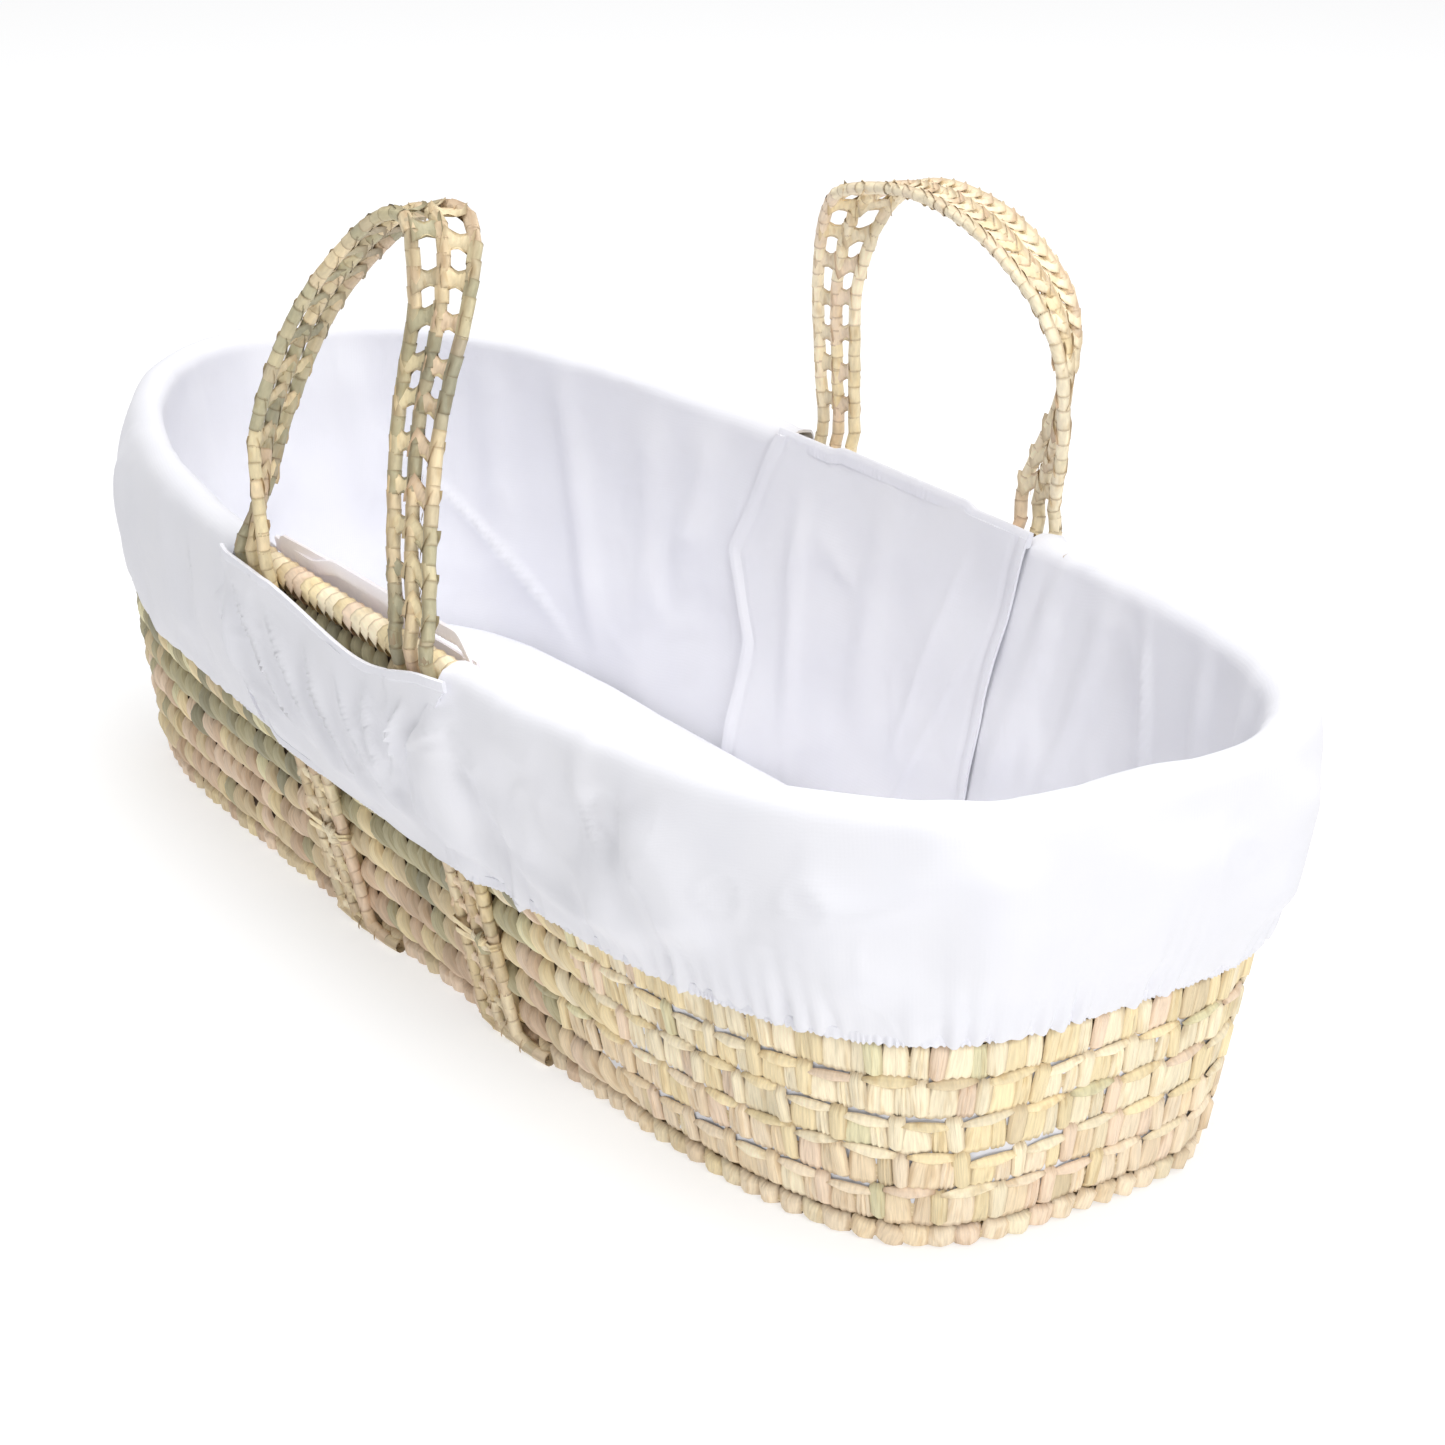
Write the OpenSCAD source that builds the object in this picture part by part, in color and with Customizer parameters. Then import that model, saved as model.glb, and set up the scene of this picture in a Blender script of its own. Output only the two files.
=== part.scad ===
// Oval basket of coiled palm-leaf rows with two strap handles, a draped cotton lining and a mattress.
// Millimetres. +X is the foot end, -X the head end, -Y the near side, +Z up.
// The origin is the centre of the underside.

/* [Basket] */
// Outside length of the woven rim
rim_l = 830; // [690:1:1000]
// Outside width of the woven rim
rim_w = 360; // [300:1:435]
// Outside length of the woven base
base_l = 760; // [640:1:920]
// Outside width of the woven base
base_w = 256; // [215:1:310]
// Height of the rim at the middle of the long sides
side_h = 216; // [180:1:260]
// Extra rim height at the head end
head_rise = 14; // [0:1:30]
// Extra rim height at the foot end
foot_rise = 8; // [0:1:30]
// Thickness of the woven wall
wall_t = 11; // [8:0.5:14]

/* [Oval shape] */
// Squareness of the base at the head end (2 is an ellipse)
base_head_power = 5.6; // [2:0.1:6]
// Squareness of the base at the foot end
base_foot_power = 4.1; // [2:0.1:6]
// Squareness of the rim at the head end
rim_head_power = 2.4; // [2:0.1:4]
// Squareness of the rim at the foot end
rim_foot_power = 3.2; // [2:0.1:4]

/* [Weave] */
// Height of the thin row that stands on the floor
foot_h = 12; // [10:0.5:16]
// Thickness of the flat base rows
base_t = 10; // [8:0.5:12]
// Width of one flat base row
base_row_w = 20; // [16:0.5:22]
// Diameter of the wrapped rim coil
rim_d = 14; // [11:0.5:18]
// How far a wall row swells past its edges
row_swell = 1.2; // [0:0.1:2]
// Gap between neighbouring rows
row_gap = 0.4; // [0.3:0.1:1]

/* [Handles] */
// Diameter of one wrapped handle cord
cord_d = 6.5; // [5:0.1:8]
// Distance between the cords of a handle
cord_pitch = 14.5; // [10:0.1:17]
// Left leg of the near handle, from the middle of the basket
near_left_x = -64; // [-80:1:-50]
// Right leg of the near handle
near_right_x = 98; // [80:1:120]
// Left leg of the far handle
far_left_x = -73; // [-90:1:-60]
// Right leg of the far handle
far_right_x = 104; // [85:1:120]
// Length of the near handle from its bend to its top
near_handle_h = 192; // [160:1:230]
// Length of the far handle from its bend to its top
far_handle_h = 155; // [130:1:190]
// Inward lean of the near handle, in degrees
near_lean = 15; // [0:1:20]
// Inward lean of the far handle, in degrees
far_lean = 2; // [0:1:20]
// Height of the handles' bend above the rim
bend_h = 6; // [5:0.5:9]
// Height of the leaf ties on the straps
tie_z = 62; // [40:1:80]

/* [Lining] */
// Thickness of the doubled cotton
cloth_t = 1.6; // [1:0.1:3]
// Height of the hem at the middle of the long sides
hem_side_z = 102; // [80:1:130]
// Extra height of the hem at the head end
hem_head_rise = 45; // [0:1:60]
// Extra height of the hem at the foot end
hem_foot_rise = 13; // [0:1:60]
// Swell of the skirt below the rim
skirt_swell = 3; // [0:0.5:6]
// Cloth between the head cover and a handle leg
seam_gap = 10; // [6:1:20]
// Depth of the notch in the near flap, below the rim
notch_depth = 15; // [0:1:25]

/* [Mattress] */
// Thickness of the mattress at its edge
mattress_t = 30; // [20:1:50]
// Crown of the mattress in its middle
mattress_crown = 6; // [0:1:12]
// Thickness of the fitted mattress cover
cover_t = 1.2; // [0.8:0.1:2]
// Distance between the mattress and the lining
mattress_gap = 3.5; // [2:0.5:8]

/* [Hidden] */

near = -1;
far = 1;
wall_rows = 10;
base_rows = 5;
turn_step = 6;
cord_sides = 8;
strap_foot = 2;
handle_rings = 34;
strap_clearance = 0.8;
cloth_clearance = 1;
cord_end_gap = 3;
cord_tip_share = 0.35;
cord_neck = 3.2;
lace_gap = 0.7;
lace_pitch = 21;
lace_w = 7;
lace_t = 2.6;
lace_slant = 6;
tie_t = 1.8;
tie_h = 7;
tie_clearance = 0.9;
binding_w = 6;
binding_t = 0.8;
binding_gap = 0.2;
elastic_t = 1;
elastic_h = 5;
elastic_z = 3;
panel_rise = 2;
floor_gap = 0.6;
seam_turn = 0.15;
swell_share = 0.35;
foam_gap = 0.3;
cover_lip = 28;

coil_side = (rim_d + wall_t) / 2;
strap_inner = max(row_swell, coil_side - wall_t) + strap_clearance;
strap_off = strap_inner + cord_d / 2;
strap_outer = strap_inner + cord_d;
bend_z = side_h + bend_h;
bend_y = rim_w / 2 + strap_off;
skirt_in = max(row_swell, coil_side - wall_t) + elastic_t + 2 * cloth_clearance;
flap_in = strap_outer + cloth_clearance + binding_t;
lining_out = max(wall_t, coil_side) + cloth_clearance;
lining_in = lining_out + cloth_t;
floor_z = base_t + floor_gap;
lining_z = floor_z + cloth_t + floor_gap;
mattress_z = floor_z + cloth_t + floor_gap;
mattress_off = lining_in + mattress_gap;
half_band = cord_pitch + cord_d / 2;
colour_straw = "#d9c9a0";
colour_leaf = "#cfc59a";
colour_strap = "#dcc8a6";
colour_cotton = "#f4f4fa";

// Arches: [share of half the leg spacing, share of the height, turn of the band from the rim's line].
near_arch = [
    [-1, 0, 174], [-1.03, 0.13, 146], [-1.08, 0.345, 120], [-0.81, 0.665, 110], [-0.18, 0.94, 98],
    [0.33, 1, 75], [0.57, 0.825, 30], [0.61, 0.505, 12], [0.8, 0.225, 4],
    [0.985, 0.05, 0], [1, 0, 0]
];
far_arch = [
    [-1, 0, 0], [-1.02, 0.27, 6], [-1, 0.6, 14], [-0.75, 0.88, 45], [-0.15, 1, 85],
    [0.5, 0.96, 92], [1.02, 0.8, 105], [1.23, 0.6, 125], [1.18, 0.33, 150],
    [1.02, 0.07, 172], [1, 0, 178]
];

function mix(a, b, share) = a + (b - a) * share;

// The oval: half length, half width and squareness at a share of the wall's height.
function half_l(share) = mix(base_l, rim_l, share) / 2;
function half_w(share) = mix(base_w, rim_w, share) / 2;
function power(share, turn) = cos(turn) < 0
    ? mix(base_head_power, rim_head_power, share)
    : mix(base_foot_power, rim_foot_power, share);
function oval(turn, share, off) =
    let (n = power(share, turn), c = cos(turn), s = sin(turn))
    let (r = pow(pow(abs(c), n) + pow(abs(s), n), 1 / n))
    [(half_l(share) + off) * c / r, (half_w(share) + off) * s / r];

// Height of the rim and of the hem at a place along the basket.
function reach(turn) = oval(turn, 1, 0)[0] / half_l(1);
function rim_z(turn) = side_h + (reach(turn) < 0 ? head_rise : foot_rise) * pow(reach(turn), 2);
function hem_z(turn) = hem_side_z + (reach(turn) < 0 ? hem_head_rise : hem_foot_rise) * pow(reach(turn), 2);

// A point beside the wall's outer face: `off` outwards, at height z.
function beside(turn, off, z) =
    let (p = oval(turn, z / rim_z(turn), off)) [p[0], p[1], z];

// The turn at which the rim passes x, on the near or far side.
function turn_at(x, side) =
    let (n = x < 0 ? rim_head_power : rim_foot_power, u = abs(x) / half_l(1))
    side * atan2(pow(1 - pow(u, n), 1 / n), (x < 0 ? -1 : 1) * u);

// Joins rings of points into a closed solid: a loop when `closed`, else with flat ends.
function side_faces(rings, n, closed) = [
    for (i = [0:rings - (closed ? 1 : 2)], j = [0:n - 1])
        let (a = i * n + j, b = i * n + (j + 1) % n, k = ((i + 1) % rings) * n)
        each [[a, k + j, k + (j + 1) % n], [a, k + (j + 1) % n, b]]
];
function end_cap(n, first) = [
    for (j = [0:n / 2 - 2]) each [
        [first + j, first + j + 1, first + n - 2 - j], [first + j, first + n - 2 - j, first + n - 1 - j]
    ]
];
function flipped(faces) = [for (f = faces) [f[2], f[1], f[0]]];
module skin(rings, closed = true) {
    n = len(rings[0]);
    polyhedron(
        points = [for (ring = rings) each ring],
        faces = closed
            ? side_faces(len(rings), n, true)
            : concat(
                side_faces(len(rings), n, false), end_cap(n, 0), flipped(end_cap(n, (len(rings) - 1) * n))
            )
    );
}
function span(from, to) = concat(
    [from],
    [for (k = [ceil((from + seam_turn) / turn_step):floor((to - seam_turn) / turn_step)]) k * turn_step],
    [to]
);
full_turn = [for (turn = [0:turn_step:359.9]) turn];

// Sweeps a section of [off, z] pairs along the turns.
module sweep_oval(turns, section_at, closed) {
    skin([for (turn = turns) [for (q = section_at(turn)) beside(turn, q[0], q[1])]], closed);
}

// Woven rows.
function row_z(turn, k) = mix(foot_h, rim_z(turn) - rim_d - row_gap, k / wall_rows);
function row_section(low, high) = [
    [-wall_t, low], [-wall_t, high], [0, high], [row_swell, (low + high) / 2], [0, low]
];
module wall_row(k) {
    color(colour_straw)
        sweep_oval(full_turn,
            function (turn) row_section(row_z(turn, k - 1) + row_gap, row_z(turn, k)), true);
}
module foot_row() {
    color(colour_straw) sweep_oval(full_turn, function (turn) row_section(0, foot_h), true);
}
module rim_coil() {
    color(colour_leaf)
        sweep_oval(full_turn, function (turn) [
            for (i = [0:cord_sides - 1])
                let (a = -(i + 0.5) * 360 / cord_sides, r = rim_d / 2)
                [r * cos(a) - wall_t / 2, rim_z(turn) - r + r * sin(a) / cos(180 / cord_sides)]
        ], true);
}
module base_oval(off) {
    polygon([for (turn = full_turn) oval(turn, 0, -off)]);
}
module base_row(k) {
    outer = wall_t + row_gap + (k - 1) * base_row_w;
    color(colour_straw)
        linear_extrude(base_t)
            difference() {
                base_oval(outer);
                base_oval(outer + base_row_w - row_gap);
            }
}
module base_core() {
    color(colour_straw) linear_extrude(base_t) base_oval(wall_t + row_gap + base_rows * base_row_w);
}

// Handles: cords that follow an arch in a leaning plane.
function spline(list, at) =
    let (last = len(list) - 1, i = min(floor(at), last - 1), u = at - i)
    let (a = list[max(i - 1, 0)], b = list[i], c = list[i + 1], d = list[min(i + 2, last)])
    b + u * (c - a) / 2 + u * u * (2 * a - 5 * b + 4 * c - d) / 2 + u * u * u * (3 * b - 3 * c + d - a) / 2;
function handle_place(arch, side, left, right, height, lean, share) =
    let (q = spline(arch, share * (len(arch) - 1)), up = cord_end_gap + q[1] * (height - cord_end_gap))
    [
        (left + right) / 2 + q[0] * (right - left) / 2,
        side * (bend_y - up * sin(lean)),
        bend_z + up * cos(lean),
        q[2]
    ];
function xyz(q) = [q[0], q[1], q[2]];
function unit(v) = v / norm(v);

// Place, width direction and face direction of the band at a share of its length.
function band_frame(spec, share) =
    let (h = 0.002, s = min(max(share, h), 1 - h))
    let (q = handle_place(spec[0], spec[1], spec[2], spec[3], spec[4], spec[5], share))
    let (a = handle_place(spec[0], spec[1], spec[2], spec[3], spec[4], spec[5], s - h))
    let (b = handle_place(spec[0], spec[1], spec[2], spec[3], spec[4], spec[5], s + h))
    let (t = share <= 0 || share >= 1 ? [0, 0, b[2] > a[2] ? 1 : -1] : unit(xyz(b) - xyz(a)))
    let (w = [cos(q[3]), sin(q[3]), 0], across = unit(w - (w * t) * t))
    [xyz(q), across, cross(t, across)];
near_spec = [near_arch, near, near_left_x, near_right_x, near_handle_h, near_lean];
far_spec = [far_arch, far, far_left_x, far_right_x, far_handle_h, far_lean];

function ring_round(centre, across, face, r) = [
    for (i = [0:cord_sides - 1])
        let (a = i * 360 / cord_sides) centre + r * cos(a) * across + r * sin(a) * face
];
module handle_cord(spec, k) {
    neck = cord_neck / band_length(spec);
    stations = concat(
        [[0, cord_tip_share], [neck, 1]],
        [for (i = [1:handle_rings - 1]) [i / handle_rings, 1]],
        [[1 - neck, 1], [1, cord_tip_share]]
    );
    skin([
        for (q = stations)
            let (f = band_frame(spec, q[0]))
            ring_round(f[0] + (k - 2) * cord_pitch * f[1], f[1], f[2], q[1] * cord_d / 2)
    ], false);
}

// One slanted lace between two neighbouring cords.
module lace(spec, share, length, row) {
    half_lace = (cord_pitch - cord_d) / 2 - lace_gap;
    ends = [for (e = [-1, 1]) band_frame(spec, share + e * row * lace_slant / 2 / length)];
    skin([
        for (e = [0, 1])
            let (f = ends[e], t = cross(f[1], f[2]))
            let (c = f[0] + (row * cord_pitch / 2 + (2 * e - 1) * half_lace) * f[1])
            [
                c - t * lace_w / 2 - f[2] * lace_t / 2, c - t * lace_w / 2 + f[2] * lace_t / 2,
                c + t * lace_w / 2 + f[2] * lace_t / 2, c + t * lace_w / 2 - f[2] * lace_t / 2
            ]
    ], false);
}
function band_length(spec) =
    let (p = [for (i = [0:handle_rings]) band_frame(spec, i / handle_rings)[0]])
    [for (i = [1:handle_rings]) norm(p[i] - p[i - 1])] * [for (i = [1:handle_rings]) 1];
module handle_lacing(spec) {
    length = band_length(spec);
    count = floor(length / lace_pitch) - 1;
    for (row = [-1, 1], i = [1:count]) lace(spec, i / (count + 1), length, row);
}

// Straps: the handle's cords below the bend, down the wall's outer face.
module strap(x, side) {
    turn = turn_at(x, side);
    top = bend_z - cord_end_gap;
    stations = concat(
        [for (share = [0, 0.25, 0.5, 0.75, 1]) [mix(strap_foot, top - cord_neck, share), 1]],
        [[top, cord_tip_share]]
    );
    color(colour_strap)
        for (k = [-1, 0, 1])
            skin([
                for (q = stations)
                    let (p = beside(turn, strap_off, q[0]), r = q[1] * cord_d / 2)
                    ring_round([p[0] + k * cord_pitch, p[1], p[2]], [1, 0, 0], [0, 1, 0], r)
            ], false);
}
module leaf_tie(x, side) {
    turn = turn_at(x, side);
    place = [beside(turn, strap_off, tie_z)[0], beside(turn, 0, tie_z)[1], tie_z];
    slope = atan((rim_w - base_w) / 2 / side_h);
    inner = half_band + tie_clearance;
    depth = strap_outer + tie_clearance;
    root = row_swell + 2 * strap_clearance;
    color(colour_leaf)
        translate(place)
            rotate([-slope, 0, side > 0 ? 0 : 180])
                translate([0, 0, -tie_h / 2])
                    linear_extrude(tie_h)
                        difference() {
                            translate([-inner - tie_t, root])
                                square([2 * (inner + tie_t), depth + tie_t - root]);
                            translate([-inner, 0]) square([2 * inner, depth]);
                        }
}

// Lining: covers drape over the rim, panels and flaps stand between the handle legs.
function rim_arch(turn, r) =
    let (mid = rim_z(turn) - rim_d / 2, flat = r * tan(22.5))
    [
        [r - wall_t / 2, mid + flat], [flat - wall_t / 2, mid + r],
        [-flat - wall_t / 2, mid + r], [-r - wall_t / 2, mid + flat]
    ];
function cover_path(turn, t) =
    let (hem = hem_z(turn), top = rim_z(turn), r = coil_side - wall_t / 2 + cloth_clearance + t)
    concat(
        [[skirt_in + t, hem], [skirt_in + skirt_swell + t, mix(hem, top, swell_share)]],
        [[skirt_in + skirt_swell / 2 + t, top - rim_d]],
        rim_arch(turn, r),
        [for (share = [1, 0.7, 0.35, 0]) [-lining_out - t, mix(lining_z, top - rim_d, share)]]
    );
function cover_section(turn) = concat(cover_path(turn, 0), reversed(cover_path(turn, cloth_t)));
function reversed(list) = [for (i = [len(list) - 1:-1:0]) list[i]];
head_from = turn_at(far_left_x - half_band - seam_gap, far);
head_to = 360 + turn_at(near_left_x - half_band - seam_gap, near);
foot_from = turn_at(near_right_x + half_band + seam_gap, near);
foot_to = turn_at(far_right_x + half_band + seam_gap, far);
module cover(from, to) {
    color(colour_cotton)
        sweep_oval(span(from, to), function (turn) cover_section(turn), false);
}
// A strip of cloth that stands at one offset, from one height to another, with a ring of points per share.
module strip(from, to, off, thick, low, high, shares = [0, 1]) {
    sweep_oval(span(from, to), function (turn) concat(
        [for (share = shares) [off, mix(low(turn), high(turn), share)]],
        [for (share = reversed(shares)) [off + thick, mix(low(turn), high(turn), share)]]
    ), false);
}
near_from = head_to - 360 + seam_turn;
near_to = foot_from - seam_turn;
far_from = foot_to + seam_turn;
far_to = head_from - seam_turn;
panel_low = function (turn) lining_z;
panel_high = function (turn) rim_z(turn) + panel_rise;
far_flap_high = function (turn) rim_z(turn) - rim_d / 2;
near_share = function (turn) (turn - near_from) / (near_to - near_from);
near_flap_high = function (turn)
    rim_z(turn) - 1 - notch_depth * pow(sin(180 * pow(min(max(near_share(turn), 0), 1), 1.5)), 2);
flap_low = function (turn) hem_z(turn);
module lining_panel(from, to) {
    strip(from, to, -lining_in, cloth_t, panel_low,
        function (turn) panel_high(turn) - binding_w - binding_gap, [0, 0.5, 1]);
}
module panel_hem(from, to) {
    strip(from, to, -lining_in - binding_t, cloth_t + 2 * binding_t,
        function (turn) panel_high(turn) - binding_w, panel_high);
}
module flap(from, to, high) {
    strip(from, to, flap_in, cloth_t, flap_low,
        function (turn) high(turn) - binding_w - binding_gap, [0, 0.5, 1]);
}
module flap_binding(from, to, high) {
    strip(from, to, flap_in - binding_t, cloth_t + 2 * binding_t,
        function (turn) high(turn) - binding_w, high);
}
module hem_elastic(from, to) {
    strip(from, to, row_swell + cloth_clearance, elastic_t,
        function (turn) hem_z(turn) + elastic_z, function (turn) hem_z(turn) + elastic_z + elastic_h);
}
module lining_floor() {
    color(colour_cotton)
        translate([0, 0, floor_z])
            linear_extrude(cloth_t)
                polygon([for (turn = full_turn) oval(turn, floor_z / side_h, -lining_in)]);
}

// Mattress: its sides follow the flare of the wall.
function pad_ring(turn_list, off, z) = [for (turn = turn_list) beside(turn, -off, z)];
module pad(inset, low, edge, crown) {
    rings = [
        pad_ring(full_turn, mattress_off + inset + 2, low),
        pad_ring(full_turn, mattress_off + inset, low + 3),
        pad_ring(full_turn, mattress_off + inset, edge - 3),
        pad_ring(full_turn, mattress_off + inset + 3, edge),
        pad_ring(full_turn, mattress_off + inset + 45, edge + crown * 0.75)
    ];
    n = len(full_turn);
    top = len(rings) * n;
    polyhedron(
        points = concat([for (ring = rings) each ring], [[0, 0, low], [0, 0, edge + crown]]),
        faces = concat(
            side_faces(len(rings), n, false),
            [for (j = [0:n - 1]) [top, j, (j + 1) % n]],
            [for (j = [0:n - 1]) [top + 1, top - n + (j + 1) % n, top - n + j]]
        )
    );
}
module mattress_foam() {
    color("#f7f3e4")
        pad(cover_t + foam_gap, mattress_z + cover_t + foam_gap,
            mattress_z + mattress_t - cover_t - foam_gap, mattress_crown);
}
module mattress_cover() {
    color(colour_cotton)
        difference() {
            pad(0, mattress_z, mattress_z + mattress_t, mattress_crown);
            pad(cover_t, mattress_z + cover_t, mattress_z + mattress_t - cover_t, mattress_crown);
            translate([0, 0, mattress_z - 1])
                linear_extrude(cover_t + 2)
                    polygon([
                        for (turn = full_turn) oval(turn, mattress_z / side_h, -mattress_off - cover_lip)
                    ]);
        }
}

base_core();
base_row(1);  // base_row_1
base_row(2);  // base_row_2
base_row(3);  // base_row_3
base_row(4);  // base_row_4
base_row(5);  // base_row_5
foot_row();
wall_row(1);  // wall_row_1
wall_row(2);  // wall_row_2
wall_row(3);  // wall_row_3
wall_row(4);  // wall_row_4
wall_row(5);  // wall_row_5
wall_row(6);  // wall_row_6
wall_row(7);  // wall_row_7
wall_row(8);  // wall_row_8
wall_row(9);  // wall_row_9
wall_row(10);  // wall_row_10
rim_coil();
strap(near_left_x, near);  // near_left_strap
strap(near_right_x, near);  // near_right_strap
strap(far_left_x, far);  // far_left_strap
strap(far_right_x, far);  // far_right_strap
leaf_tie(near_left_x, near);  // near_left_tie
leaf_tie(near_right_x, near);  // near_right_tie
leaf_tie(far_left_x, far);  // far_left_tie
leaf_tie(far_right_x, far);  // far_right_tie
color(colour_strap) handle_cord(near_spec, 1);  // near_handle_cord_1
color(colour_strap) handle_cord(near_spec, 2);  // near_handle_cord_2
color(colour_strap) handle_cord(near_spec, 3);  // near_handle_cord_3
color(colour_leaf) handle_lacing(near_spec);  // near_handle_lacing
color(colour_strap) handle_cord(far_spec, 1);  // far_handle_cord_1
color(colour_strap) handle_cord(far_spec, 2);  // far_handle_cord_2
color(colour_strap) handle_cord(far_spec, 3);  // far_handle_cord_3
color(colour_leaf) handle_lacing(far_spec);  // far_handle_lacing
cover(head_from, head_to);  // head_cover
cover(foot_from, foot_to);  // foot_cover
lining_panel(near_from, near_to);  // near_lining_panel
lining_panel(far_from, far_to);  // far_lining_panel
flap(near_from, near_to, near_flap_high);  // near_flap
flap(far_from, far_to, far_flap_high);  // far_flap
flap_binding(near_from, near_to, near_flap_high);  // near_flap_binding
flap_binding(far_from, far_to, far_flap_high);  // far_flap_binding
panel_hem(near_from, near_to);  // near_panel_hem
panel_hem(far_from, far_to);  // far_panel_hem
hem_elastic(head_from, head_to);  // head_hem_elastic
hem_elastic(foot_from, foot_to);  // foot_hem_elastic
lining_floor();
mattress_foam();
mattress_cover();
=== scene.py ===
import logging
import math
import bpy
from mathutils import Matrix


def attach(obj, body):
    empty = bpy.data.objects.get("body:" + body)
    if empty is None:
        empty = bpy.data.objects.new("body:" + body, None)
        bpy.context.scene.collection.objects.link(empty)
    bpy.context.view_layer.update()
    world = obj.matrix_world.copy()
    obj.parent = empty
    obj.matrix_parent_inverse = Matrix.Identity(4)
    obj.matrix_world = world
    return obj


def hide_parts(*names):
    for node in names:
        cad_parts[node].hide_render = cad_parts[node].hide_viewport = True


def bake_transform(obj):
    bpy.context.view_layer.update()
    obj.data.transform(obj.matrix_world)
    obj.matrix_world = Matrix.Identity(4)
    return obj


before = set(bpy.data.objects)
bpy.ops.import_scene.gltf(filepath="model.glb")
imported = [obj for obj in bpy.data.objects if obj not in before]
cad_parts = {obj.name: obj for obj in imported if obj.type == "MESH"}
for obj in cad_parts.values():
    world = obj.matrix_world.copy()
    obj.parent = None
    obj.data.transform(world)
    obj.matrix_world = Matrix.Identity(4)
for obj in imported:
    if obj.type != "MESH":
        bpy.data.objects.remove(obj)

import zlib
from collections.abc import Callable, Sequence
from dataclasses import dataclass, field
from enum import Enum

import bmesh
import bpy
import numpy as np
from mathutils import Euler, Vector, noise

log = logging.getLogger("moses_basket")

Array = np.ndarray
Colour = tuple[float, float, float]
MM = 0.001
BODY = "basket"
NEAR = -1
FAR = 1


# ---------------------------------------------------------------- small helpers


def rgb(red: int, green: int, blue: int) -> Colour:
    """Turns screen levels of 0 to 255 into the linear colour that a shader wants."""
    return tuple((level / 255) ** 2.2 for level in (red, green, blue))


def unit(vectors: Array) -> Array:
    """Scales each row of vectors to length one."""
    return vectors / np.linalg.norm(vectors, axis=-1, keepdims=True)


def smooth(low: float, high: float, value: Array) -> Array:
    """Rises smoothly from 0 at low to 1 at high (or falls, when low is above high)."""
    share = np.clip((np.asarray(value, float) - low) / (high - low), 0, 1)
    return share * share * (3 - 2 * share)


def seeded(name: str) -> np.random.Generator:
    """Gives a random generator that is the same in every run for one piece name."""
    return np.random.default_rng(zlib.crc32(name.encode()))


def report(obj: bpy.types.Object) -> None:
    """Writes one line about a finished piece."""
    log.info("%-24s %6d faces", obj.name, len(obj.data.polygons))


def deselect_all() -> None:
    """Leaves nothing selected, in object mode."""
    if bpy.context.mode != "OBJECT":
        bpy.ops.object.mode_set(mode="OBJECT")
    bpy.ops.object.select_all(action="DESELECT")


def make_active(obj: bpy.types.Object) -> None:
    """Selects obj alone and makes it the active object."""
    deselect_all()
    obj.select_set(True)
    bpy.context.view_layer.objects.active = obj


def shade(obj: bpy.types.Object, degrees: float = 60.0) -> None:
    """Shades a piece smooth, but for edges sharper than an angle.

    Args:
        obj: The piece.
        degrees: The angle above which an edge stays crisp.
    """
    make_active(obj)
    bpy.ops.object.shade_smooth_by_angle(angle=math.radians(degrees))


def join(pieces: Sequence[bpy.types.Object], name: str) -> bpy.types.Object:
    """Joins several meshes into one piece.

    Args:
        pieces: The meshes; the first one keeps its object.
        name: The name of the joined piece.

    Returns:
        The joined object.
    """
    deselect_all()
    for piece in pieces:
        piece.select_set(True)
    bpy.context.view_layer.objects.active = pieces[0]
    bpy.ops.object.join()
    pieces[0].name = name
    pieces[0].data.name = name
    return pieces[0]


def stand_for(piece: bpy.types.Object, slot: str, *nodes: str) -> bpy.types.Object:
    """Makes a piece ride on the basket, in place of frame nodes.

    Args:
        piece: The finished piece.
        slot: Not used.
        nodes: The frame nodes that it replaces; a trim piece may replace none.

    Returns:
        The same piece.
    """
    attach(piece, BODY)
    if nodes:
        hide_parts(*nodes)
    return piece


def drawn(random: np.random.Generator, count: int, *ranges: tuple[Array, float, float]) -> Array:
    """Draws the width, length and depth of each copy of a leaf.

    Args:
        random: The piece's random generator.
        count: Number of copies.
        ranges: For each of the three, a measure and its least and greatest share.

    Returns:
        One row of three scales for each copy.
    """
    return np.stack([measure * random.uniform(low, high, count) for measure, low, high in ranges], axis=1)


def draw_together(obj: bpy.types.Object, first: int, count: int) -> None:
    """Closes the end of a piece by merging a ring of its points into one.

    Args:
        obj: The piece.
        first: Number of the ring's first point.
        count: Number of points in the ring.
    """
    bench = Bench(obj)
    bench.done()
    for vertex in obj.data.vertices[first:first + count]:
        vertex.select = True
    bpy.ops.object.mode_set(mode="EDIT")
    bpy.ops.mesh.merge(type="CENTER")
    bpy.ops.mesh.select_all(action="SELECT")
    bpy.ops.mesh.normals_make_consistent(inside=False)
    bench.done()


def thicken(obj: bpy.types.Object, thickness: float) -> None:
    """Gives a sheet its thickness, half of it on each side."""
    modifier = obj.modifiers.new("Thickness", "SOLIDIFY")
    modifier.thickness = thickness
    modifier.offset = 0.0
    bpy.ops.object.modifier_apply(modifier=modifier.name)


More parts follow.
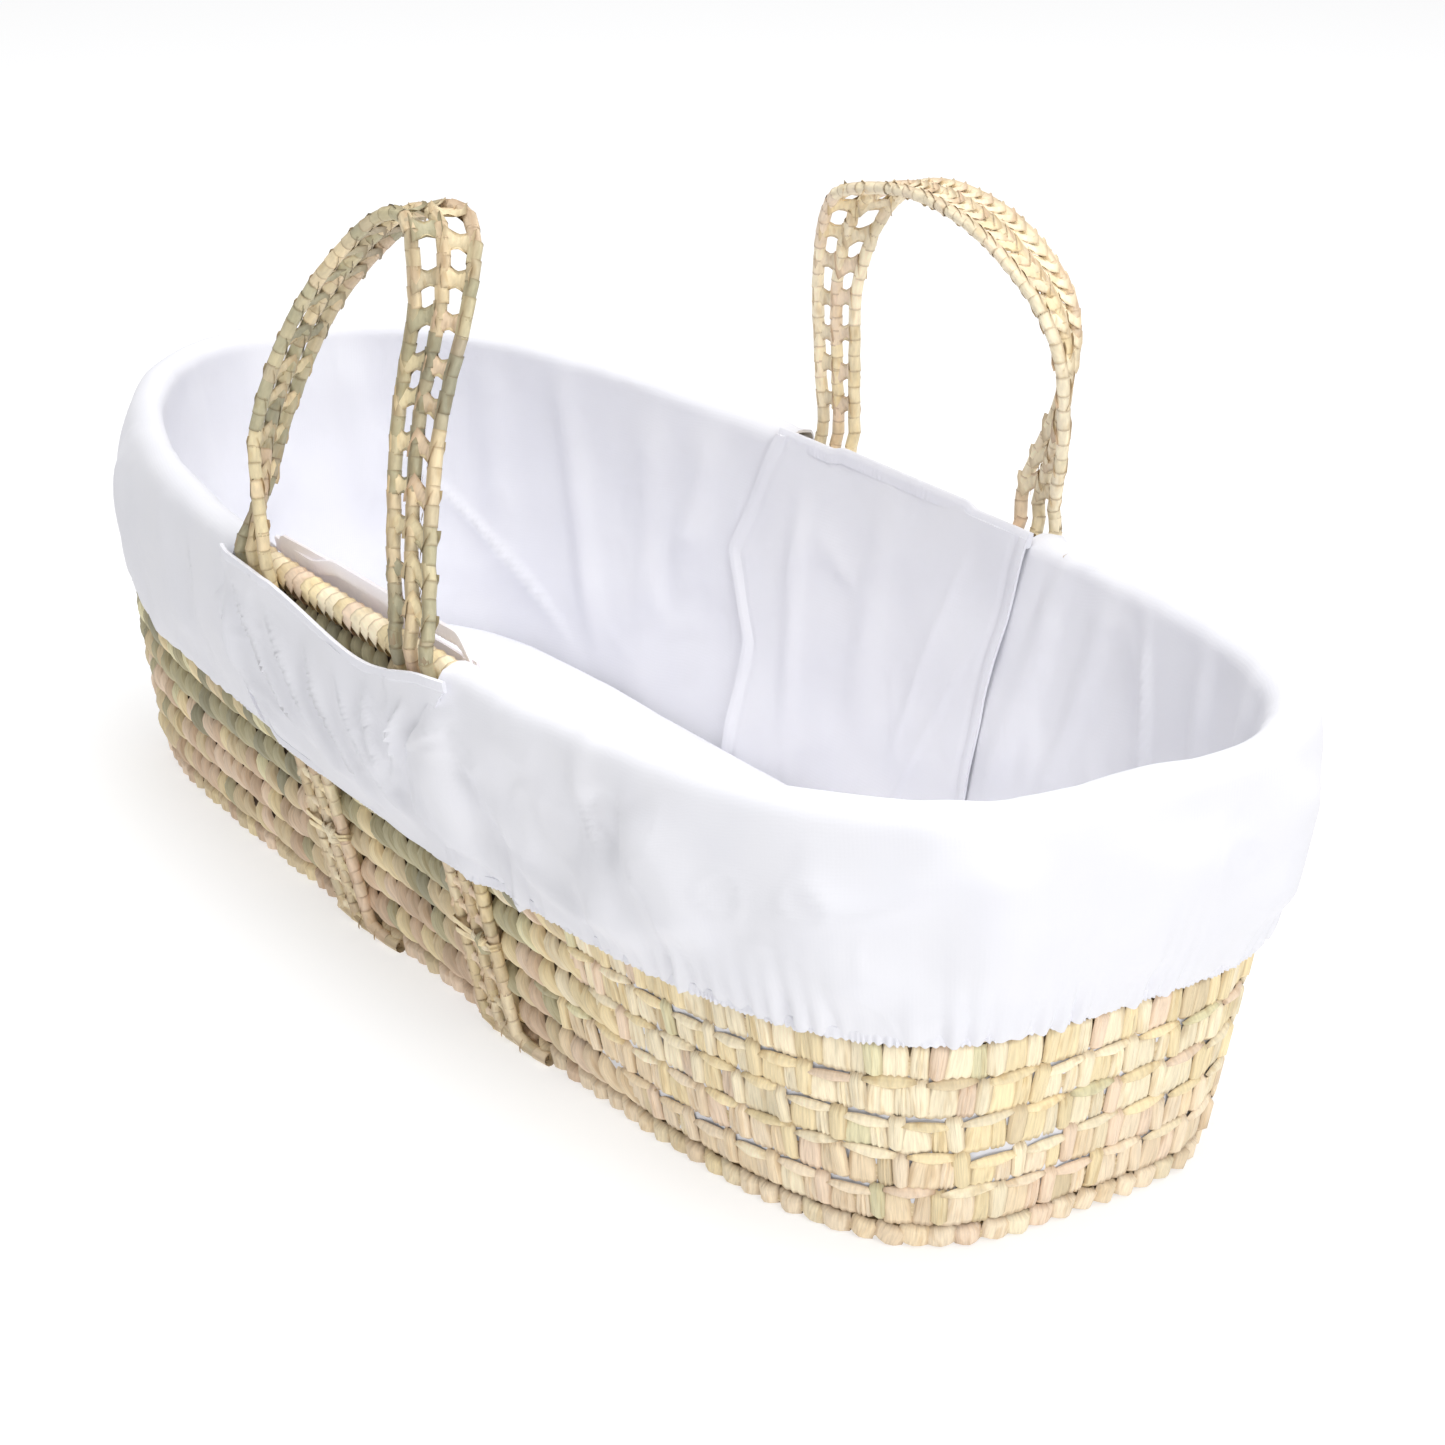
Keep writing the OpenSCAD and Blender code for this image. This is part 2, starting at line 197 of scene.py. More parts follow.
def curve_through(points: Array, at: Array) -> Array:
    """Runs a smooth curve through points.

    Args:
        points: The points, one in each row.
        at: Places on the curve, counted in points from 0 at the first.

    Returns:
        The curve's point at each place.
    """
    last = len(points) - 1
    low = np.minimum(np.floor(at).astype(int), last - 1)
    u = (at - low)[:, None]
    a, b = points[np.maximum(low - 1, 0)], points[low]
    c, d = points[low + 1], points[np.minimum(low + 2, last)]
    return (b + u * (c - a) / 2 + u * u * (2 * a - 5 * b + 4 * c - d) / 2
            + u**3 * (3 * b - 3 * c + d - a) / 2)


def lengths(line: Array) -> Array:
    """Distance of each point of a line from the line's start, along it."""
    return np.concatenate([[0], np.cumsum(np.linalg.norm(np.diff(line, axis=0), axis=1))])


class Bench:
    """Edit-mode work on one mesh: points are picked by their place and moved as by hand."""

    def __init__(self, obj: bpy.types.Object) -> None:
        """Puts obj in edit mode with nothing picked."""
        self.obj = obj
        make_active(obj)
        bpy.ops.object.mode_set(mode="EDIT")
        bpy.ops.mesh.select_mode(type="VERT")
        bpy.ops.mesh.select_all(action="DESELECT")

    def pick(self, wanted: Callable[[Vector], bool]) -> "Bench":
        """Picks the points that a test accepts and drops all others."""
        mesh = bmesh.from_edit_mesh(self.obj.data)
        for vertex in mesh.verts:
            vertex.select_set(bool(wanted(vertex.co)))
        mesh.select_flush_mode()
        bmesh.update_edit_mesh(self.obj.data)
        return self

    def move(self, x: float = 0.0, y: float = 0.0, z: float = 0.0) -> "Bench":
        """Moves the picked points."""
        bpy.ops.transform.translate(value=(x, y, z))
        return self

    def scale(self, x: float = 1.0, y: float = 1.0, z: float = 1.0) -> "Bench":
        """Scales the picked points about the origin."""
        bpy.ops.transform.resize(value=(x, y, z), center_override=(0.0, 0.0, 0.0))
        return self

    def done(self) -> bpy.types.Object:
        """Leaves edit mode and returns the object."""
        bpy.ops.object.mode_set(mode="OBJECT")
        return self.obj


@dataclass
class Pattern:
    """A small shape, modelled once, that is copied many times.

    Attributes:
        points: Its points, one row each.
        faces: Its faces, four point numbers each.
        uv: One (across, along) pair for each face corner.
    """

    points: Array
    faces: Array
    uv: Array

    @classmethod
    def taken_from(cls, obj: bpy.types.Object) -> "Pattern":
        """Reads a mesh of four-sided faces into a pattern and removes its object."""
        mesh = obj.data
        points = np.array([tuple(v.co) for v in mesh.vertices])
        faces = np.array([tuple(p.vertices) for p in mesh.polygons])
        uv = np.array([tuple(d.uv) for d in mesh.uv_layers.active.data])
        bpy.data.objects.remove(obj)
        bpy.data.meshes.remove(mesh)
        return cls(points, faces, uv)


def sheet_object(
    name: str,
    points: Array,
    faces: Array,
    uv: Array,
    colours: Array | None = None,
) -> bpy.types.Object:
    """Makes a mesh object from arrays of four-sided faces.

    Args:
        name: The object's name.
        points: One row for each point.
        faces: Four point numbers for each face.
        uv: One pair for each face corner.
        colours: Red, green, blue and a leaf number for each point, if any.

    Returns:
        The new object, linked to the scene.
    """
    mesh = bpy.data.meshes.new(name)
    mesh.vertices.add(len(points))
    mesh.vertices.foreach_set("co", points.astype(np.float32).ravel())
    mesh.loops.add(faces.size)
    mesh.loops.foreach_set("vertex_index", faces.astype(np.int32).ravel())
    mesh.polygons.add(len(faces))
    mesh.polygons.foreach_set("loop_start", np.arange(0, faces.size, 4, dtype=np.int32))
    mesh.update(calc_edges=True)
    layer = mesh.uv_layers.new(name="UVMap")
    layer.data.foreach_set("uv", uv.astype(np.float32).ravel())
    if colours is not None:
        attribute = mesh.color_attributes.new(name="leaf", type="FLOAT_COLOR", domain="POINT")
        attribute.data.foreach_set("color", colours.astype(np.float32).ravel())
    mesh.validate()
    obj = bpy.data.objects.new(name, mesh)
    bpy.context.scene.collection.objects.link(obj)
    return obj


def grid_faces(rows: int, columns: int, closed: bool) -> tuple[Array, Array]:
    """Faces of a grid of points that is stored row by row, its columns joined when closed.

    Args:
        rows: Number of point rows.
        columns: Number of points in a row.
        closed: Whether the last column joins the first.

    Returns:
        The faces, and the (column, row) share of each face corner.
    """
    across = np.arange(columns if closed else columns - 1)
    up = np.arange(rows - 1)
    column, row = (a.ravel() for a in np.meshgrid(across, up))
    ahead = (column + 1) % columns
    faces = np.stack(
        [row * columns + column, row * columns + ahead,
         (row + 1) * columns + ahead, (row + 1) * columns + column], axis=1)
    wide = columns if closed else columns - 1
    corner_column = np.stack([column, column + 1, column + 1, column], axis=1) / wide
    corner_row = np.stack([row, row, row + 1, row + 1], axis=1) / (rows - 1)
    return faces, np.stack([corner_column.ravel(), corner_row.ravel()], axis=1)


class Weaver:
    """Lays copies of small leaf patterns side by side and makes one piece of them."""

    def __init__(self, name: str) -> None:
        """Starts an empty piece."""
        self.name = name
        self.random = seeded(name)
        self.points: list[Array] = []
        self.faces: list[Array] = []
        self.uv: list[Array] = []
        self.colours: list[Array] = []
        self.count = 0

    def lay(self, pattern: Pattern, places: Array, axes: Array, sizes: Array, tones: Array) -> None:
        """Lays one copy of a pattern at each place.

        Args:
            pattern: The shape.
            places: One point for each copy.
            axes: For each copy, the directions of the pattern's x, y and z, one in each row.
            sizes: For each copy, its scale along x, y and z.
            tones: For each copy, red, green and blue.
        """
        copies = len(places)
        if not copies:
            return
        scaled = pattern.points[None, :, :] * sizes[:, None, :]
        points = np.einsum("kpi,kij->kpj", scaled, axes) + places[:, None, :]
        step = len(pattern.points)
        starts = self.count + np.arange(copies) * step
        leaf = self.random.random(copies)
        colours = np.concatenate([tones, leaf[:, None]], axis=1)
        self.points.append(points.reshape(-1, 3))
        self.faces.append((pattern.faces[None] + starts[:, None, None]).reshape(-1, 4))
        self.uv.append(np.tile(pattern.uv, (copies, 1)))
        self.colours.append(np.repeat(colours, step, axis=0))
        self.count += copies * step

    def add_grid(self, points: Array, closed: bool, tone: Array) -> None:
        """Adds one grid of points, given as rows of columns, in one colour or one for each point."""
        rows, columns = points.shape[:2]
        faces, uv = grid_faces(rows, columns, closed)
        colours = np.empty((rows * columns, 4))
        colours[:, :3] = tone.reshape(-1, 3) if tone.ndim == 3 else tone
        colours[:, 3] = self.random.random()
        self.points.append(points.reshape(-1, 3))
        self.faces.append(faces + self.count)
        self.uv.append(uv)
        self.colours.append(colours)
        self.count += rows * columns

    def finish(self, material: bpy.types.Material) -> bpy.types.Object:
        """Makes the piece, smooth and in its material."""
        obj = sheet_object(
            self.name,
            np.concatenate(self.points),
            np.concatenate(self.faces),
            np.concatenate(self.uv),
            np.concatenate(self.colours),
        )
        obj.data.materials.append(material)
        shade(obj, 75)
        return obj


# ---------------------------------------------------------------- the basket's shape


@dataclass(frozen=True)
class Oval:
    """The flaring oval that rows, seams and hems follow, as the frame was made.

    Half lengths and widths are of the outer face, in metres. Each power is a pair, for the
    head end and the foot end; 2 is an ellipse.
    """

    rim_half: tuple[float, float] = (0.415, 0.180)
    base_half: tuple[float, float] = (0.380, 0.128)
    rim_power: tuple[float, float] = (2.4, 3.2)
    base_power: tuple[float, float] = (5.6, 4.1)
    side_h: float = 0.216
    rim_rise: tuple[float, float] = (0.014, 0.008)
    hem_side: float = 0.102
    hem_rise: tuple[float, float] = (0.045, 0.013)

    def outline(self, turn: Array, share: Array, off: Array) -> tuple[Array, Array]:
        """Finds x and y of the outer face.

        Args:
            turn: Angle round the basket, 0 at the foot end, a quarter turn at the far side.
            share: Share of the wall's height.
            off: Distance outwards from the face.

        Returns:
            The x and y arrays.
        """
        cosine, sine = np.cos(turn), np.sin(turn)
        base = np.where(cosine < 0, self.base_power[0], self.base_power[1])
        rim = np.where(cosine < 0, self.rim_power[0], self.rim_power[1])
        power = base + (rim - base) * share
        size = (np.abs(cosine) ** power + np.abs(sine) ** power) ** (1 / power)
        long = self.base_half[0] + (self.rim_half[0] - self.base_half[0]) * share + off
        wide = self.base_half[1] + (self.rim_half[1] - self.base_half[1]) * share + off
        return long * cosine / size, wide * sine / size

    def reach(self, turn: Array) -> Array:
        """How far along the basket a turn is: -1 at the head end, 1 at the foot end."""
        return self.outline(turn, 1.0, 0.0)[0] / self.rim_half[0]

    def rim_z(self, turn: Array) -> Array:
        """Height of the rim's top at a turn."""
        reach = self.reach(turn)
        return self.side_h + np.where(reach < 0, self.rim_rise[0], self.rim_rise[1]) * reach**2

    def hem_z(self, turn: Array) -> Array:
        """Height of the lining's hem at a turn."""
        reach = self.reach(turn)
        return self.hem_side + np.where(reach < 0, self.hem_rise[0], self.hem_rise[1]) * reach**2

    def beside(self, turn: Array, off: Array, z: Array) -> Array:
        """Points at a distance outside the wall's face, at a height."""
        turn, off, z = np.broadcast_arrays(np.asarray(turn, float), off, z)
        x, y = self.outline(turn, z / self.rim_z(turn), off)
        return np.stack([x, y, z], axis=-1)

    def turn_at(self, x: float, side: int) -> float:
        """The turn at which the rim passes x, on the near or the far side."""
        power = self.rim_power[0] if x < 0 else self.rim_power[1]
        along = abs(x) / self.rim_half[0]
        return side * math.atan2((1 - along**power) ** (1 / power), math.copysign(along, x))

    def directions(self, turn: Array, off: Array, z: Array) -> Array:
        """Directions at points beside the wall: along the row, up the wall and outwards."""
        step = 1e-4
        along = unit(self.beside(turn + step, off, z) - self.beside(turn - step, off, z))
        up = unit(self.beside(turn, off, z + step) - self.beside(turn, off, z - step))
        out = unit(np.cross(along, up))
        return np.stack([along, np.cross(out, along), out], axis=-2)

    def walk(self, z_at: Callable[[Array], Array], off: float, pitch: float, shift: float = 0.5) -> Array:
        """Turns that step evenly round the basket.

        Args:
            z_at: Height at a turn.
            off: Distance outside the face.
            pitch: The wanted distance between steps.
            shift: Where the first step lies, as a share of the pitch.

        Returns:
            One turn for each step, from the head end round by the near side.
        """
        turns = np.linspace(-math.pi, math.pi, 2400)
        line = self.beside(turns, off, z_at(turns))
        along = lengths(line)
        steps = round(along[-1] / pitch)
        return np.interp((np.arange(steps) + shift) / steps * along[-1], along, turns)


OVAL = Oval()
ROWS = 10
FOOT_H = 0.012
RIM_D = 0.014
WALL_T = 0.011
ROW_GAP = 0.0004


def row_z(turn: Array, number: float) -> Array:
    """Height of the top edge of a wall row; row 0 is the thin one that stands on the floor."""
    top = OVAL.rim_z(turn) - RIM_D - ROW_GAP
    return FOOT_H + (top - FOOT_H) * number / ROWS


def openness(turn: Array) -> Array:
    """How loose the weave is: 0 on the long sides and head end, 1 round the foot end."""
    return smooth(0.28, 0.62, OVAL.reach(turn))


class Tone(Enum):
    """Colours of dry palm leaf, and a deep brown painted as shade in the holes between leaves."""

    CREAM = rgb(252, 238, 206)
    STRAW = rgb(246, 227, 184)
    WHEAT = rgb(229, 210, 174)
    PALE_GREEN = rgb(234, 226, 186)
    OLIVE = rgb(193, 185, 152)
    GREY_GREEN = rgb(170, 165, 140)
    PINK = rgb(244, 220, 194)
    ROSE = rgb(222, 196, 169)
    # Painted shade: the deep brown of the holes between tight leaf folds, not a leaf colour.
    BROWN = rgb(72, 54, 38)


@dataclass(frozen=True)
class Palette:
    """A choice of leaf tones and how often each comes.

    Attributes:
        tones: The tones.
        shares: How often each comes; they add up to one.
    """

    tones: tuple[Tone, ...]
    shares: tuple[float, ...]

    def draw(self, random: np.random.Generator, count: int) -> Array:
        """Draws a colour for each of count leaves, each a little lighter or darker."""
        colours = np.array([tone.value for tone in self.tones])
        chosen = colours[random.choice(len(colours), size=count, p=self.shares)]
        return chosen * random.uniform(0.9, 1.06, size=(count, 1))


FOOT_LEAVES = Palette(
    (Tone.CREAM, Tone.STRAW, Tone.PALE_GREEN, Tone.PINK, Tone.WHEAT), (0.46, 0.34, 0.06, 0.08, 0.06))
SIDE_LEAVES = Palette(
    (Tone.OLIVE, Tone.GREY_GREEN, Tone.WHEAT, Tone.STRAW, Tone.PALE_GREEN), (0.48, 0.24, 0.16, 0.06, 0.06))
LOW_LEAVES = Palette(
    (Tone.ROSE, Tone.PINK, Tone.WHEAT, Tone.OLIVE, Tone.STRAW), (0.3, 0.2, 0.3, 0.08, 0.12))
# The near handle's tones: olive and grey-green stains, and browner leaf overall as painted shade.
NEAR_HANDLE_STAINED_SHADED_LEAVES = Palette(
    (Tone.STRAW, Tone.WHEAT, Tone.OLIVE, Tone.GREY_GREEN, Tone.ROSE), (0.12, 0.26, 0.32, 0.18, 0.12))
# The far handle's tones: nearly all cream, paler than the leaf elsewhere as painted light.
FAR_HANDLE_LIT_LEAVES = Palette((Tone.CREAM, Tone.STRAW, Tone.PINK), (0.76, 0.1, 0.14))
STRAP_LEAVES = Palette(
    (Tone.PINK, Tone.STRAW, Tone.CREAM, Tone.WHEAT, Tone.OLIVE), (0.2, 0.3, 0.32, 0.15, 0.03))


def leaf_tones(places: Array, random: np.random.Generator) -> Array:
    """Colours for leaves on the wall: cream at the foot end, olive on the sides, rosy low down."""
    count = len(places)
    foot = FOOT_LEAVES.draw(random, count)
    side = SIDE_LEAVES.draw(random, count)
    low = LOW_LEAVES.draw(random, count)
    lowness = smooth(0.085, 0.025, places[:, 2]) + random.normal(0, 0.14, count)
    mixed = np.where((lowness > 0.5)[:, None], low, side)
    footness = smooth(0.04, 0.24, places[:, 0]) + random.normal(0, 0.16, count)
    pale = np.where((lowness > 0.85)[:, None], (foot + np.array(Tone.PINK.value)) / 2, foot)
    return np.where((footness > 0.5)[:, None], pale, mixed)


# ---------------------------------------------------------------- finishes


class Nodes:
    """Builds a material's node tree with short calls."""

    def __init__(self, name: str) -> None:
        """Starts a material with only its Principled shader."""
        self.material = bpy.data.materials.new(name)
        self.material.use_nodes = True
        self.tree = self.material.node_tree
        self.shader = self.tree.nodes["Principled BSDF"]

    def add(self, kind: str, **settings: object) -> bpy.types.Node:
        """Adds a node; settings name its properties."""
        node = self.tree.nodes.new(kind)
        for key, value in settings.items():
            setattr(node, key, value)
        return node

    def link(self, source: bpy.types.NodeSocket, target: bpy.types.NodeSocket) -> None:
        """Joins two sockets."""
        self.tree.links.new(source, target)

    def sum(self, operation: str, first: object, second: object = None) -> bpy.types.NodeSocket:
        """Adds a Math node; each value is a number or a socket."""
        node = self.add("ShaderNodeMath", operation=operation)
        for socket, value in zip(node.inputs, (first, second)):
            self.put(socket, value)
        return node.outputs[0]

    def put(self, socket: bpy.types.NodeSocket, value: object) -> None:
        """Sets a socket to a number, or links it to another socket."""
        if isinstance(value, bpy.types.NodeSocket):
            self.link(value, socket)
        elif value is not None:
            socket.default_value = value

    def stretched(self, sockets: Sequence[object], scales: Sequence[float]) -> bpy.types.NodeSocket:
        """Makes a vector of three values, each multiplied by its scale."""
        node = self.add("ShaderNodeCombineXYZ")
        for target, socket, scale in zip(node.inputs, sockets, scales):
            self.put(target, self.sum("MULTIPLY", socket, scale))
        return node.outputs[0]

    def noise(self, vector: object, scale: float, detail: float = 3.0) -> bpy.types.NodeSocket:
        """Adds a noise texture and returns its grey value."""
        node = self.add("ShaderNodeTexNoise")
        node.inputs["Scale"].default_value = scale
        node.inputs["Detail"].default_value = detail
        self.put(node.inputs["Vector"], vector)
        return node.outputs["Fac"]

    def remap(self, value: object, low: float, high: float, to_low: float,
              to_high: float) -> bpy.types.NodeSocket:
        """Maps a value from one range to another, held inside it."""
        node = self.add("ShaderNodeMapRange")
        self.put(node.inputs["Value"], value)
        for key, number in (("From Min", low), ("From Max", high), ("To Min", to_low), ("To Max", to_high)):
            node.inputs[key].default_value = number
        return node.outputs["Result"]

    def mix(self, kind: str, share: object, first: object, second: object) -> bpy.types.NodeSocket:
        """Mixes two colours, by a blend such as MIX or MULTIPLY."""
        node = self.add("ShaderNodeMix", data_type="RGBA", blend_type=kind)
        self.put(node.inputs[0], share)
        for socket, value in ((node.inputs[6], first), (node.inputs[7], second)):
            self.put(socket, (*value, 1.0) if isinstance(value, tuple) else value)
        return node.outputs[2]

    def bump(self, height: object, strength: float, distance: float,
             under: object = None) -> bpy.types.NodeSocket:
        """Adds a bump, over an earlier one when given, and returns its normal."""
        node = self.add("ShaderNodeBump")
        node.inputs["Strength"].default_value = strength
        node.inputs["Distance"].default_value = distance
        self.put(node.inputs["Height"], height)
        self.put(node.inputs["Normal"], under)
        return node.outputs["Normal"]

    def dress(self, values: dict[str, object]) -> None:
        """Sets the shader's inputs by name, or links them to sockets."""
        for name, value in values.items():
            self.put(self.shader.inputs[name], value)


@dataclass(frozen=True)
class LeafFinish:
    """Dry palm leaf: each copy in its own tone, with veins, creases, stains and painted shade in creases and
    at tucked edges.

    Attributes:
        name: The material's name.
        veins: How many veins cross one leaf.
        edge: Strength of the painted shade at a leaf's tucked edges, where it slips under its neighbours, 0
            to 1.
        stain: How strong grey-green stains are, 0 to 1.
    """

    name: str
    veins: float = 16.0
    edge: float = 0.48
    stain: float = 0.25

    def build(self) -> bpy.types.Material:
        """Makes the material."""
        make = Nodes(self.name)
        leaf = make.add("ShaderNodeVertexColor", layer_name="leaf")
        number = leaf.outputs["Alpha"]
        uv = make.add("ShaderNodeSeparateXYZ")
        make.link(make.add("ShaderNodeUVMap", uv_map="UVMap").outputs["UV"], uv.inputs[0])
        across, along = uv.outputs["X"], uv.outputs["Y"]
        veins = make.noise(make.stretched((across, along, number), (self.veins, 1.6, 57.0)), 1.0, 4.0)
        creases = make.noise(make.stretched((across, along, number), (4.5, 0.9, 31.0)), 1.0, 1.0)
        place = make.add("ShaderNodeTexCoord").outputs["Object"]
        blotch = make.noise(place, 26.0, 4.0)
        # Painted shade: each leaf turns browner towards its tucked sides and ends, where it slips under its
        # neighbours.
        middle = make.sum("ABSOLUTE", make.sum("SUBTRACT", across, 0.5))
        side_shade = make.remap(middle, 0.34, 0.5, 0.0, self.edge)
        ends = make.sum("ABSOLUTE", make.sum("SUBTRACT", along, 0.5))
        end_shade = make.remap(ends, 0.36, 0.5, 0.0, self.edge)
        tuck_shade = make.sum("MAXIMUM", side_shade, end_shade)
        colour = make.mix("MULTIPLY", 1.0, leaf.outputs["Color"], make.remap(veins, 0.3, 0.7, 0.9, 1.12))
        # Painted shade: the leaf is darker along its creases.
        colour = make.mix("MULTIPLY", make.remap(creases, 0.56, 0.7, 0.0, 0.34), colour, rgb(204, 180, 142))
        stains = make.remap(blotch, 0.55, 0.75, 0.0, self.stain)
        colour = make.mix("MULTIPLY", stains, colour, rgb(176, 178, 152))
        # Lays the painted shade of the tucked sides and ends over the colour.
        colour = make.mix("MULTIPLY", tuck_shade, colour, rgb(148, 118, 84))
        fine = make.bump(veins, 0.5, 0.001)
        make.dress({
            "Base Color": colour, "Roughness": make.remap(veins, 0.3, 0.7, 0.5, 0.68),
            "Specular IOR Level": 0.38, "Normal": make.bump(creases, 0.65, 0.0018, fine)})
        return make.material


@dataclass(frozen=True)
class CoreFinish:
    """The bundle of stems inside a row, seen only through the gaps between leaves; its ring colour is painted
    shade where the weave is tight.
    """

    name: str

    def build(self) -> bpy.types.Material:
        """Makes the material."""
        make = Nodes(self.name)
        place = make.add("ShaderNodeTexCoord").outputs["Object"]
        turned = make.add("ShaderNodeMapping")
        turned.inputs["Scale"].default_value = (1.0, 1.0, 9.0)
        make.put(turned.inputs["Vector"], place)
        stems = make.noise(turned.outputs[0], 90.0, 4.0)
        leaf = make.add("ShaderNodeVertexColor", layer_name="leaf").outputs["Color"]
        colour = make.mix("MULTIPLY", make.remap(stems, 0.35, 0.65, 0.0, 0.6), leaf, rgb(190, 168, 136))
        make.dress({"Base Color": colour, "Normal": make.bump(stems, 0.6, 0.0015), "Roughness": 0.8})
        return make.material


@dataclass(frozen=True)
class CottonFinish:
    """Plain white cotton: a fine weave, small soft creases and a faint sheen.

    Attributes:
        name: The material's name.
        colour: The cloth's colour.
        thread: Width of one thread, in metres.
        crease: Depth of the small creases, in metres.
        glow: Strength of a painted glow, an emission that stands in for light coming through the cloth from
            behind.
    """

    name: str
    colour: Colour
    thread: float = 0.0006
    crease: float = 0.0012
    glow: float = 0.0

    def build(self) -> bpy.types.Material:
        """Makes the material; the UV map is in metres."""
        make = Nodes(self.name)
        uv = make.add("ShaderNodeUVMap", uv_map="UVMap").outputs["UV"]
        weave = None
        for direction in ("X", "Y"):
            wave = make.add("ShaderNodeTexWave", bands_direction=direction)
            wave.inputs["Scale"].default_value = 0.1 / self.thread
            make.link(uv, wave.inputs["Vector"])
            weave = wave.outputs["Fac"] if weave is None else make.sum("ADD", weave, wave.outputs["Fac"])
        place = make.add("ShaderNodeTexCoord").outputs["Object"]
        soft = make.noise(place, 24.0, 3.0)
        slub = make.noise(place, 210.0, 2.0)
        tint = make.remap(soft, 0.3, 0.7, 0.0, 0.5)
        cooler = tuple(level * share for level, share in zip(self.colour, (0.96, 0.965, 0.985)))
        ridges = make.bump(soft, 0.35, self.crease)
        threads = make.bump(weave, 0.07, self.thread / 3, ridges)
        # Emission Strength paints the glow, light that the cloth gives off itself; it is zero unless a glow
        # is set.
        make.dress({
            "Base Color": make.mix("MIX", tint, self.colour, cooler), "Roughness": 0.88,
            "Specular IOR Level": 0.25, "Sheen Weight": 0.15, "Emission Color": (1.0, 0.93, 0.95, 1.0),
            "Emission Strength": self.glow, "Normal": make.bump(slub, 0.12, 0.0003, threads)})
        return make.material


# ---------------------------------------------------------------- leaf patterns


@dataclass(frozen=True)
class LeafPatterns:
    """The few small leaf shapes that are modelled once and copied all over the basket.

    Each is about one unit wide (x) and one long (y), and stands up along z.
    """

    arch: float = 0.3

    def strip(self, name: str, columns: int, rows: int) -> Bench:
        """Starts a flat leaf one unit square, from y 0 to y 1."""
        bpy.ops.mesh.primitive_grid_add(
            x_subdivisions=columns, y_subdivisions=rows, size=1.0, location=(0.0, 0.0, 0.0))
        obj = bpy.context.active_object
        obj.name = name
        bench = Bench(obj)
        return bench.pick(lambda point: True).move(y=0.5)

    def arched(self, bench: Bench, height: float) -> None:
        """Raises the middle of a leaf so that it bulges across its width."""
        bench.pick(lambda point: abs(point.x) < 0.4).move(z=height * 0.7)
        bench.pick(lambda point: abs(point.x) < 0.12).move(z=height * 0.3)

    def plump(self) -> Pattern:
        """A thick leaf fold that leans over the row: a round knuckle above, a slim tail below."""
        rows = 8
        bench = self.strip("plump", 4, rows)
        self.arched(bench, self.arch)
        for number in range(rows + 1):
            up = number / rows
            width = 0.42 + 0.62 * math.sin(math.pi * up**1.4)
            swell = 0.25 + 1.05 * math.sin(math.pi * (0.04 + 0.9 * up) ** 1.25)
            lean = 0.36 - 0.72 * up + 0.13 * math.sin(2 * math.pi * up)
            row = bench.pick(lambda point, y=up: abs(point.y - y) < 0.02)
            row.scale(x=width, z=swell)
            row.move(x=lean, z=-0.3 * (abs(2 * up - 1) ** 3))
        return Pattern.taken_from(bench.done())

    def panel(self) -> Pattern:
        """A wide leaf on the face of a row, in pleats that fan down from its cinched top."""
        columns = 8
        bench = self.strip("panel", columns, 4)
        self.arched(bench, self.arch * 0.5)
        bench.pick(lambda point: round((point.x + 0.5) * columns) % 2 == 1).move(z=-0.085)
        bench.pick(lambda point: point.y > 0.6).scale(x=0.9)
        bench.pick(lambda point: point.y > 0.9).scale(x=0.84).move(z=-0.1)
        bench.pick(lambda point: point.y < 0.1).scale(x=1.03).move(z=-0.12)
        bench.pick(lambda point: abs(point.x) > 0.4).move(z=-0.1)
        return Pattern.taken_from(bench.done())

    def stitch(self) -> Pattern:
        """A narrow folded leaf that runs up and over into the next row."""
        bench = self.strip("stitch", 4, 6)
        self.arched(bench, self.arch)
        bench.pick(lambda point: point.y > 0.95).scale(x=0.75).move(z=-0.3)
        bench.pick(lambda point: point.y < 0.05).scale(x=0.8).move(z=-0.35)
        bench.pick(lambda point: 0.1 < point.y < 0.4).scale(x=0.93)
        return Pattern.taken_from(bench.done())

    def lens(self) -> Pattern:
        """A slim leaf that lies along the top of a row, pointed at both ends."""
        columns = 6
        bench = self.strip("lens", columns, 4)
        bench.pick(lambda point: 0.2 < point.y < 0.8).move(z=self.arch * 0.7)
        bench.pick(lambda point: 0.4 < point.y < 0.6).move(z=self.arch * 0.3)
        bench.pick(lambda point: True).move(y=-0.5)
        for number in range(columns + 1):
            across = number / columns - 0.5
            tall = 0.18 + 0.86 * math.cos(math.pi * across * 0.96) ** 0.8
            column = bench.pick(lambda point, x=across: abs(point.x - x) < 0.02)
            column.scale(y=tall, z=0.4 + 0.6 * tall).move(z=-0.3 * abs(across))
        return Pattern.taken_from(bench.done())

    def wrap(self) -> Pattern:
        """One turn of leaf round a cord: a short sleeve whose upper end tucks under the next."""
        bpy.ops.mesh.primitive_cylinder_add(
            vertices=10, radius=1.0, depth=1.0, end_fill_type="NOTHING", location=(0.0, 0.0, 0.0))
        bench = Bench(bpy.context.active_object)
        bench.pick(lambda point: True)
        bpy.ops.mesh.bisect(plane_co=(0.0, 0.0, 0.1), plane_no=(0.0, 0.0, 1.0))
        bench.pick(lambda point: point.z < -0.4).scale(x=1.015, y=1.015)
        bench.pick(lambda point: point.z > 0.4).scale(x=0.97, y=0.97)
        return Pattern.taken_from(bench.done())

